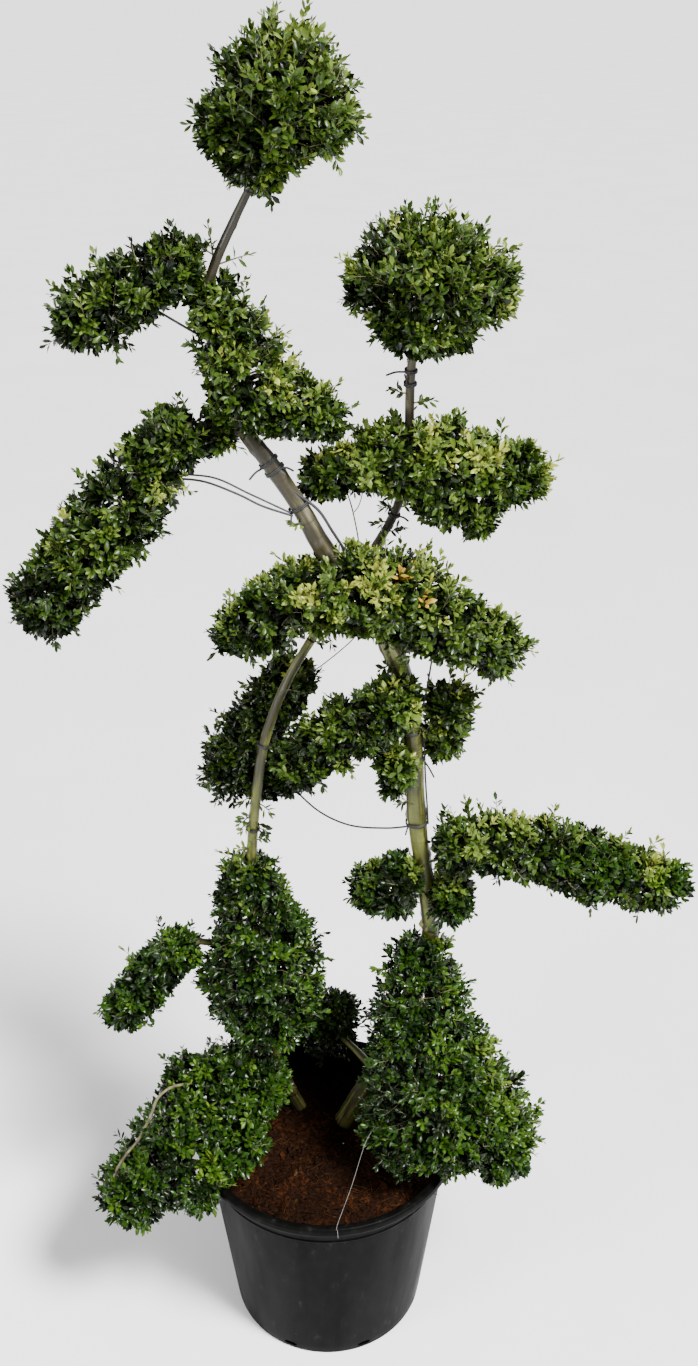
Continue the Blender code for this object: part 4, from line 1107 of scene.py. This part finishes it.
def grow_mass(name, number, limbs, leaf_materials, twig):
    """One mass of foliage: a stem, branchlets that each end in a spray of shoots, and leaves."""
    carrier_name, own = FOLIAGE[name]
    bars = [Bar(*item) for item in own]
    rng = np.random.default_rng(1000 + number)
    stem = mass_stem(limbs[carrier_name], carrier_name.startswith("bough"), bars)
    stations = np.concatenate([bar.centres for bar in bars])
    near = [route for route in limbs.values() if clearance(stations, route).min() < NEAR_LIMB]
    sprays = Sprays(bars, rng)
    shoots = Shoots(bars, sprays, number, rng)
    clear = shoots.clear(near)

    swell = np.where(shoots.inner, INNER_SWELL, 1.0)
    places, axes, sizes, owner = shoot_leaves(shoots.tips, shoots.directions, shoots.lengths, swell, rng)
    keep = clear[owner] & leaves_clear(places, places + axes[:, 1] * sizes[:, None], near)
    tints = deal_tints(name, sprays, shoots, owner, rng)
    verts, triangles = placed_copies(LEAF_SHAPE, LEAF_TRIANGLES, places[keep], axes[keep], sizes[keep])
    leaf_tints = np.repeat(tints[keep], len(LEAF_TRIANGLES))
    make_piece("leaves_" + name, verts, triangles, leaf_materials, ["foliage_" + name],
               leaf_tints)

    shown = clear & ~(shoots.inner & (rng.random(len(clear)) < 0.5))
    verts, triangles = join_parts([stem_tube(stem), sprays.tubes(), shoots.tubes(shown)])
    make_piece("twigs_" + name, verts, triangles, [twig], ["foliage_" + name])


def nearest_points(points, others):
    """For each point, the number of the nearest of the others and how far it is."""
    found = np.empty(len(points), int)
    apart = np.empty(len(points))
    for start in range(0, len(points), 2000):
        block = points[start:start + 2000]
        squares = ((block[:, None] - others[None]) ** 2).sum(axis=-1)
        found[start:start + 2000] = squares.argmin(axis=1)
        apart[start:start + 2000] = np.sqrt(squares.min(axis=1))
    return found, apart


# Ties, wires and shoots on bare limbs

def wire_pieces(limbs):
    """The training wires, the ties round the limbs and the pale string over the pot's rim."""
    black = plain_material("wire_black", (0.002, 0.002, 0.002), (0.006, 0.006, 0.007), 200.0, 0.60)
    pale = plain_material("string_pale", (0.10, 0.095, 0.09), (0.20, 0.19, 0.18), 400.0, 0.8)
    verts, triangles = join_parts([wire_tube(points, radius, 7) for radius, points in WIRES])
    make_piece("training_wires", verts, triangles, [black], [])
    parts = []
    for name, height, tail in TIES:
        parts += tie_tubes(limbs[name], height, tail)
    verts, triangles = join_parts(parts)
    make_piece("wire_ties", verts, triangles, [black], [])
    verts, triangles = wire_tube(STRING, STRING_RADIUS, 5)
    make_piece("pale_string", verts, triangles, [pale], [])


def limb_shoot_pieces(limbs, leaf_materials, twig):
    """The small shoots that grow from bare limbs, with their leaves, and the bare twigs."""
    rng = np.random.default_rng(77)
    roots = []
    tips = []
    for name, height, offset in LIMB_SHOOTS:
        route = limbs[name]
        ring = route[int(np.argmin(np.abs(route[:, 2] - height)))]
        roots.append(ring[:3])
        tips.append(ring[:3] + np.array(offset))
    roots = np.array(roots)
    tips = np.array(tips)
    directions = unit(tips - roots)
    lengths = np.linalg.norm(tips - roots, axis=1)
    bends = (roots + tips) / 2.0 + rng.normal(0.0, 0.003, tips.shape)
    radii = np.tile(np.linspace(*LIMB_SHOOT_RADII, 5), (len(tips), 1))
    shoots = many_tubes(bent_paths(roots, bends, tips, 5), radii, 5)
    bare = [wire_tube(points, radius, 6) for radius, points in BARE_TWIGS]
    verts, triangles = join_parts([shoots] + bare)
    make_piece("limb_twigs", verts, triangles, [twig], [])
    places, axes, sizes, owner = shoot_leaves(tips, directions, lengths * 0.75, np.ones(len(tips)), rng)
    verts, triangles = placed_copies(LEAF_SHAPE, LEAF_TRIANGLES, places, axes, sizes)
    dealt = np.repeat(rng.choice([1, 2, 3], len(tips))[owner], len(LEAF_TRIANGLES))
    make_piece("limb_leaves", verts, triangles, leaf_materials, [], dealt)


def wire_tube(points, radius, sides):
    """A thin tube along a smooth curve through points."""
    route = smooth_route([(*point, radius) for point in points], 0.004)
    return many_tubes(route[None, :, :3], route[None, :, 3], sides)


def tie_tubes(route, height, tail):
    """A wire wound twice round a limb at a height, with a tail that sticks out."""
    nearest = int(np.argmin(np.abs(route[1:-1, 2] - height))) + 1
    centre = route[nearest, :3]
    along = unit(route[nearest + 1, :3] - route[nearest - 1, :3])
    side = unit(np.cross(along, np.array([0.0, 1.0, 0.0])))
    across = np.cross(along, side)
    turns = np.linspace(0.0, 4.0 * math.pi, 41)[:, None]
    reach = route[nearest, 3] * 1.04 + TIE_RADIUS
    ring = centre + (side * np.cos(turns) + across * np.sin(turns)) * reach + along * turns * 0.00035
    tubes = [many_tubes(ring[None], np.full((1, len(ring)), TIE_RADIUS), 6)]
    if tail:
        end = np.array(tail)
        start = ring[int(np.argmin(np.linalg.norm(ring - end, axis=1)))]
        tubes.append(wire_tube([start, (start + end) / 2.0 + UP * 0.002, end], TIE_RADIUS, 6))
    return tubes


# Pot and growing mix

def wall_radius(height):
    """Outer radius of the pot's wall at a height, without band and rim."""
    if height <= POT_WALL_TOP:
        return POT_BASE_RADIUS + (POT_WALL_RADIUS - POT_BASE_RADIUS) * height / POT_WALL_TOP
    rim_foot = POT_HEIGHT - POT_RIM_HEIGHT
    share = (height - POT_WALL_TOP) / (rim_foot - POT_WALL_TOP)
    return POT_WALL_RADIUS + (POT_BAND_RADIUS - POT_WALL_RADIUS) * share


def arc_points(centre, radius, start, end, count):
    """Points of an arc of the pot's half profile, angles in degrees."""
    turns = np.radians(np.linspace(start, end, count))
    return [(centre[0] + radius * math.cos(a), centre[1] + radius * math.sin(a)) for a in turns]


def pot_profile():
    """The pot's half profile: outside from the floor up, over the rim, and down the inside."""
    rim_foot = POT_HEIGHT - POT_RIM_HEIGHT
    bead = 0.0045
    profile = [(0.0, 0.0), (POT_BASE_RADIUS - 0.012, 0.0)]
    profile += arc_points((POT_BASE_RADIUS - 0.004, 0.004), 0.004, -90.0, -10.0, 5)
    for height in np.linspace(0.02, POT_WALL_TOP, 12):
        profile.append((wall_radius(height), height))
    profile += arc_points((POT_WALL_RADIUS + 0.0006, POT_WALL_TOP + 0.003), 0.0026, -60.0, 60.0, 5)
    profile.append((POT_WALL_RADIUS + 0.0028, POT_WALL_TOP + 0.010))
    profile.append((POT_BAND_RADIUS + 0.001, rim_foot - 0.008))
    profile.append((POT_BAND_RADIUS + 0.003, rim_foot - 0.003))
    profile += arc_points((POT_RIM_RADIUS - bead, rim_foot + bead), bead, -90.0, 0.0, 6)
    profile += arc_points((POT_RIM_RADIUS - bead, POT_HEIGHT - bead), bead, 0.0, 90.0, 6)
    profile.append((POT_BAND_RADIUS + 0.007, POT_HEIGHT - 0.0005))
    profile += arc_points((POT_BAND_RADIUS + 0.005, POT_HEIGHT - 0.004), 0.003, 90.0, 180.0, 5)
    profile.append((POT_BAND_RADIUS - POT_THICKNESS, rim_foot))
    profile.append((POT_WALL_RADIUS - POT_THICKNESS, POT_WALL_TOP))
    profile.append((wall_radius(POT_FLOOR) - POT_THICKNESS, POT_FLOOR))
    profile.append((0.0, POT_FLOOR))
    return profile


def turned_mesh(profile, sides):
    """Points and triangles of a closed form turned about Z."""
    angles = 2.0 * math.pi * np.arange(sides) / sides
    rings = np.array(profile[1:-1])
    verts = np.stack([rings[:, :1] * np.cos(angles), rings[:, :1] * np.sin(angles),
                      np.repeat(rings[:, 1:], sides, axis=1)], axis=-1).reshape(-1, 3)
    triangles = grid_triangles(len(rings), sides)
    first = np.arange(sides)
    last = first + (len(rings) - 1) * sides
    ends = [(0.0, 0.0, profile[0][1]), (0.0, 0.0, profile[-1][1])]
    triangles = np.concatenate([triangles, fan_triangles(first, len(verts), False),
                                fan_triangles(last, len(verts) + 1)])
    return np.concatenate([verts, ends]), triangles


def pot_piece(plastic):
    """The pot's shell, with its drain notches cut at the foot."""
    verts, triangles = turned_mesh(pot_profile(), POT_SIDES)
    pot = make_piece("pot_shell", verts, triangles, [plastic], ["pot"])
    cutters = bpy.data.collections.new("drains")
    for i in range(DRAIN_COUNT):
        turn = 2.0 * math.pi * (i + 0.5) / DRAIN_COUNT
        bm = bmesh.new()
        bmesh.ops.create_cone(bm, segments=20, radius1=0.5, radius2=0.5, depth=1.0, cap_ends=True)
        size = Matrix.Diagonal((DRAIN_HEIGHT, DRAIN_WIDTH, 0.024, 1.0))
        lay = Matrix.Rotation(math.radians(90.0), 4, "Y")
        place = Matrix.Translation((POT_BASE_RADIUS, 0.0, POT_FLOOR + DRAIN_HEIGHT / 2.0 + 0.002))
        spin = Matrix.Rotation(turn, 4, "Z")
        bmesh.ops.transform(bm, matrix=spin @ place @ lay @ size, verts=bm.verts)
        mesh = bpy.data.meshes.new("drain")
        bm.to_mesh(mesh)
        bm.free()
        cutters.objects.link(bpy.data.objects.new("drain", mesh))
    cut = pot.modifiers.new("drains", "BOOLEAN")
    cut.operand_type = "COLLECTION"
    cut.collection = cutters
    cut.solver = "EXACT"
    bpy.context.view_layer.update()
    depsgraph = bpy.context.evaluated_depsgraph_get()
    result = bpy.data.meshes.new_from_object(pot.evaluated_get(depsgraph))
    pot.modifiers.clear()
    pot.data = result
    for cutter in list(cutters.objects):
        bpy.data.objects.remove(cutter)
    bpy.data.collections.remove(cutters)
    pot.data.set_sharp_from_angle(angle=math.radians(38.0))


def soil_height(points):
    """Height of the growing mix's surface at points of the plan."""
    radius = np.hypot(points[:, 0], points[:, 1])
    slope = np.clip((radius - SOIL_FLAT_RADIUS) / (POT_WALL_RADIUS - SOIL_FLAT_RADIUS), 0.0, 1.0)
    flat = np.column_stack([points[:, :2], np.zeros(len(points))])
    rough = 0.0022 * ripple(flat, 0.07, 31) + 0.0020 * ripple(flat, 0.022, 32)
    rough += 0.0012 * ripple(flat, 0.009, 33)
    return SOIL_TOP - 0.003 - SOIL_EDGE_DROP * slope + rough


CHIP_SHAPE = np.array([(1.0, 0.0, 0.1), (-1.0, 0.1, 0.0), (0.1, 0.5, -0.05), (-0.1, -0.5, 0.05),
                       (0.0, 0.05, 0.25), (0.05, 0.0, -0.25)])
CHIP_TRIANGLES = np.array([(0, 2, 4), (2, 1, 4), (1, 3, 4), (3, 0, 4),
                           (2, 0, 5), (1, 2, 5), (3, 1, 5), (0, 3, 5)])


def soil_body(body):
    """The growing mix as one rough body that fills the pot."""
    edge = wall_radius(SOIL_TOP - SOIL_EDGE_DROP) - POT_THICKNESS - 0.0006
    rings = np.linspace(0.004, edge, SOIL_RINGS)
    angles = 2.0 * math.pi * np.arange(SOIL_SIDES) / SOIL_SIDES
    plan = np.stack([rings[:, None] * np.cos(angles), rings[:, None] * np.sin(angles)], axis=-1)
    plan = plan.reshape(-1, 2)
    top = np.column_stack([plan, soil_height(plan)])
    foot_radius = wall_radius(POT_FLOOR) - POT_THICKNESS - 0.001
    foot = np.column_stack([foot_radius * np.cos(angles), foot_radius * np.sin(angles),
                            np.full(SOIL_SIDES, POT_FLOOR + 0.001)])
    verts = np.concatenate([top, foot, [(0.0, 0.0, soil_height(np.zeros((1, 2)))[0])],
                            [(0.0, 0.0, POT_FLOOR + 0.001)]])
    last = np.arange(SOIL_SIDES) + SOIL_RINGS * SOIL_SIDES
    triangles = np.concatenate([grid_triangles(SOIL_RINGS + 1, SOIL_SIDES),
                                fan_triangles(np.arange(SOIL_SIDES), len(verts) - 2, False),
                                fan_triangles(last, len(verts) - 1)])
    make_piece("growing_mix", verts, triangles, [body], ["soil"])


def mix_chips(tints, rng):
    """Chips of bark on the growing mix, redder in patches and toward the front."""
    places, axes = lying_places(CHIP_COUNT, 0.6, rng)
    sizes = 0.0024 + 0.0092 * rng.random(CHIP_COUNT) ** 2.4
    verts, triangles = placed_copies(CHIP_SHAPE, CHIP_TRIANGLES, places, axes, sizes)
    rusty = ripple(places * (1.0, 1.0, 0.0), 0.08, 34) + rng.normal(0.0, 0.60, CHIP_COUNT)
    rusty = rusty - 2.2 * places[:, 1] - 0.25
    dealt = np.repeat(np.digitize(rusty, [0.15, 0.95, 1.75]), len(CHIP_TRIANGLES))
    make_piece("mix_chips", verts, triangles, tints, [], dealt, smooth=False)


def mix_fibres(tints, rng):
    """Short bent fibres that lie among the chips."""
    places, axes = lying_places(FIBRE_COUNT, 0.35, rng)
    reach = rng.uniform(0.004, 0.019, (FIBRE_COUNT, 1))
    middles = places + axes[:, 1] * reach * rng.uniform(-0.4, 0.4, (FIBRE_COUNT, 1)) + UP * 0.002
    paths = bent_paths(places - axes[:, 0] * reach, middles, places + axes[:, 0] * reach, 6)
    verts, triangles = many_tubes(paths, np.full((FIBRE_COUNT, 6), FIBRE_RADIUS), 3)
    dealt = np.repeat(rng.choice([1, 2, 3], FIBRE_COUNT), len(triangles) // FIBRE_COUNT)
    make_piece("mix_fibres", verts, triangles, tints, [], dealt)


def mix_grains(grain, rng):
    """A few pale rounded grains."""
    places, axes = lying_places(GRAIN_COUNT, 1.0, rng)
    sizes = rng.uniform(0.0012, 0.0032, GRAIN_COUNT)
    rounder = CHIP_SHAPE * (0.8, 1.6, 3.0)
    verts, triangles = placed_copies(rounder, CHIP_TRIANGLES, places, axes, sizes)
    make_piece("mix_grains", verts, triangles, [grain], [])


def soil_pieces():
    """The growing mix: a rough body, with chips, fibres and a few pale grains on top."""
    tints = [mix_material(name, dark, light) for name, (dark, light) in MIX_TINTS.items()]
    soil_body(tints[0])
    rng = np.random.default_rng(5)
    grain = plain_material("pale_grain", (0.50, 0.48, 0.44), (0.75, 0.73, 0.70), 300.0, 0.8)
    mix_chips(tints, rng)
    mix_fibres(tints, rng)
    mix_grains(grain, rng)


def lying_places(count, tumble, rng):
    """Random places on the growing mix, each with axes that lie nearly level."""
    radius = (POT_WALL_RADIUS - 0.010) * np.sqrt(rng.random(count))
    angle = rng.uniform(0.0, 2.0 * math.pi, count)
    plan = np.column_stack([radius * np.cos(angle), radius * np.sin(angle)])
    places = np.column_stack([plan, soil_height(plan) + rng.uniform(-0.0004, 0.0014, count)])
    turn = rng.uniform(0.0, 2.0 * math.pi, count)
    rise = rng.normal(0.0, 0.4 * tumble, count)
    first = unit(np.column_stack([np.cos(turn), np.sin(turn), rise]))
    up = UP + rng.normal(0.0, tumble, (count, 3))
    second = unit(np.cross(up, first))
    return places, np.stack([first, second, np.cross(first, second)], axis=1)


# Stage

def add_light(name, data, place, direction):
    """A light at a place that shines along a direction."""
    light = bpy.data.objects.new(name, data)
    light.location = place
    light.rotation_euler = Vector(direction).to_track_quat("-Z", "Y").to_euler()
    bpy.context.scene.collection.objects.link(light)


def soft_light(name, place, target, size, power, colour):
    """A soft square light that shines at a point."""
    data = bpy.data.lights.new(name, "AREA")
    data.size = size
    data.energy = power
    data.color = colour
    add_light(name, data, place, Vector(target) - Vector(place))


def make_floor():
    """A wide pale floor."""
    shader = Shader("studio_floor", (0.86, 0.86, 0.86), 0.7)
    shader.colour(shader.ramp(shader.noise(2.0, 3.0), [(0.35, (0.85, 0.85, 0.86)),
                                                       (0.65, (0.89, 0.89, 0.89))]))
    mesh = bpy.data.meshes.new("studio_floor")
    corners = [(-FLOOR_HALF, -FLOOR_HALF, 0.0), (FLOOR_HALF, -FLOOR_HALF, 0.0),
               (FLOOR_HALF, FLOOR_HALF, 0.0), (-FLOOR_HALF, FLOOR_HALF, 0.0)]
    mesh.from_pydata(corners, [], [(0, 1, 2, 3)])
    mesh.materials.append(shader.material)
    floor = bpy.data.objects.new("studio_floor", mesh)
    bpy.context.scene.collection.objects.link(floor)


def make_lights():
    """An even pale surrounding, two soft studio lights and a broad light from overhead."""
    world = bpy.data.worlds.new("studio")
    world.use_nodes = True
    background = world.node_tree.nodes["Background"]
    background.inputs["Color"].default_value = (1.0, 1.0, 1.0, 1.0)
    background.inputs["Strength"].default_value = SURROUND_STRENGTH
    bpy.context.scene.world = world
    for name, values in SOFT_LIGHTS.items():
        soft_light(name, *values)
    data = bpy.data.lights.new("overhead", "SUN")
    data.energy = OVERHEAD_POWER
    data.angle = math.radians(OVERHEAD_SPREAD)
    add_light("overhead", data, (0.0, 0.0, 0.0), OVERHEAD_DIRECTION)


def make_camera():
    """The camera of the photo."""
    data = bpy.data.cameras.new("camera")
    data.sensor_width = SENSOR
    data.lens = SENSOR * FOCAL_PIXELS / IMAGE_LONG_SIDE
    data.clip_end = 1000.0
    camera = bpy.data.objects.new("camera", data)
    camera.location = CAMERA_PLACE
    camera.rotation_euler = (math.radians(90.0 - CAMERA_DOWN), 0.0, 0.0)
    bpy.context.scene.collection.objects.link(camera)
    bpy.context.scene.camera = camera


def build():
    """The whole scene."""
    for obj in list(bpy.data.objects):
        bpy.data.objects.remove(obj)
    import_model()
    make_camera()
    make_floor()
    make_lights()

    bark = bark_material()
    limb_piece("main_trunk", MAIN_TRUNK, bark, 11, foot=True)
    limb_piece("left_stem", LEFT_STEM, bark, 21, foot=True)
    for number, (name, points) in enumerate(BOUGHS.items()):
        limb_piece(name, points, bark, 31 + 10 * number)

    ways = {"main_trunk": MAIN_TRUNK, "left_stem": LEFT_STEM, **BOUGHS}
    limbs = {name: smooth_route(points, ROUTE_STEP) for name, points in ways.items()}
    leaf_materials = [leaf_material(name, colour) for name, colour in LEAF_TINTS.items()]
    twig = twig_material()
    for number, name in enumerate(FOLIAGE):
        grow_mass(name, number, limbs, leaf_materials, twig)

    wire_pieces(limbs)
    limb_shoot_pieces(limbs, leaf_materials, twig)

    pot_piece(plastic_material())
    soil_pieces()


build()
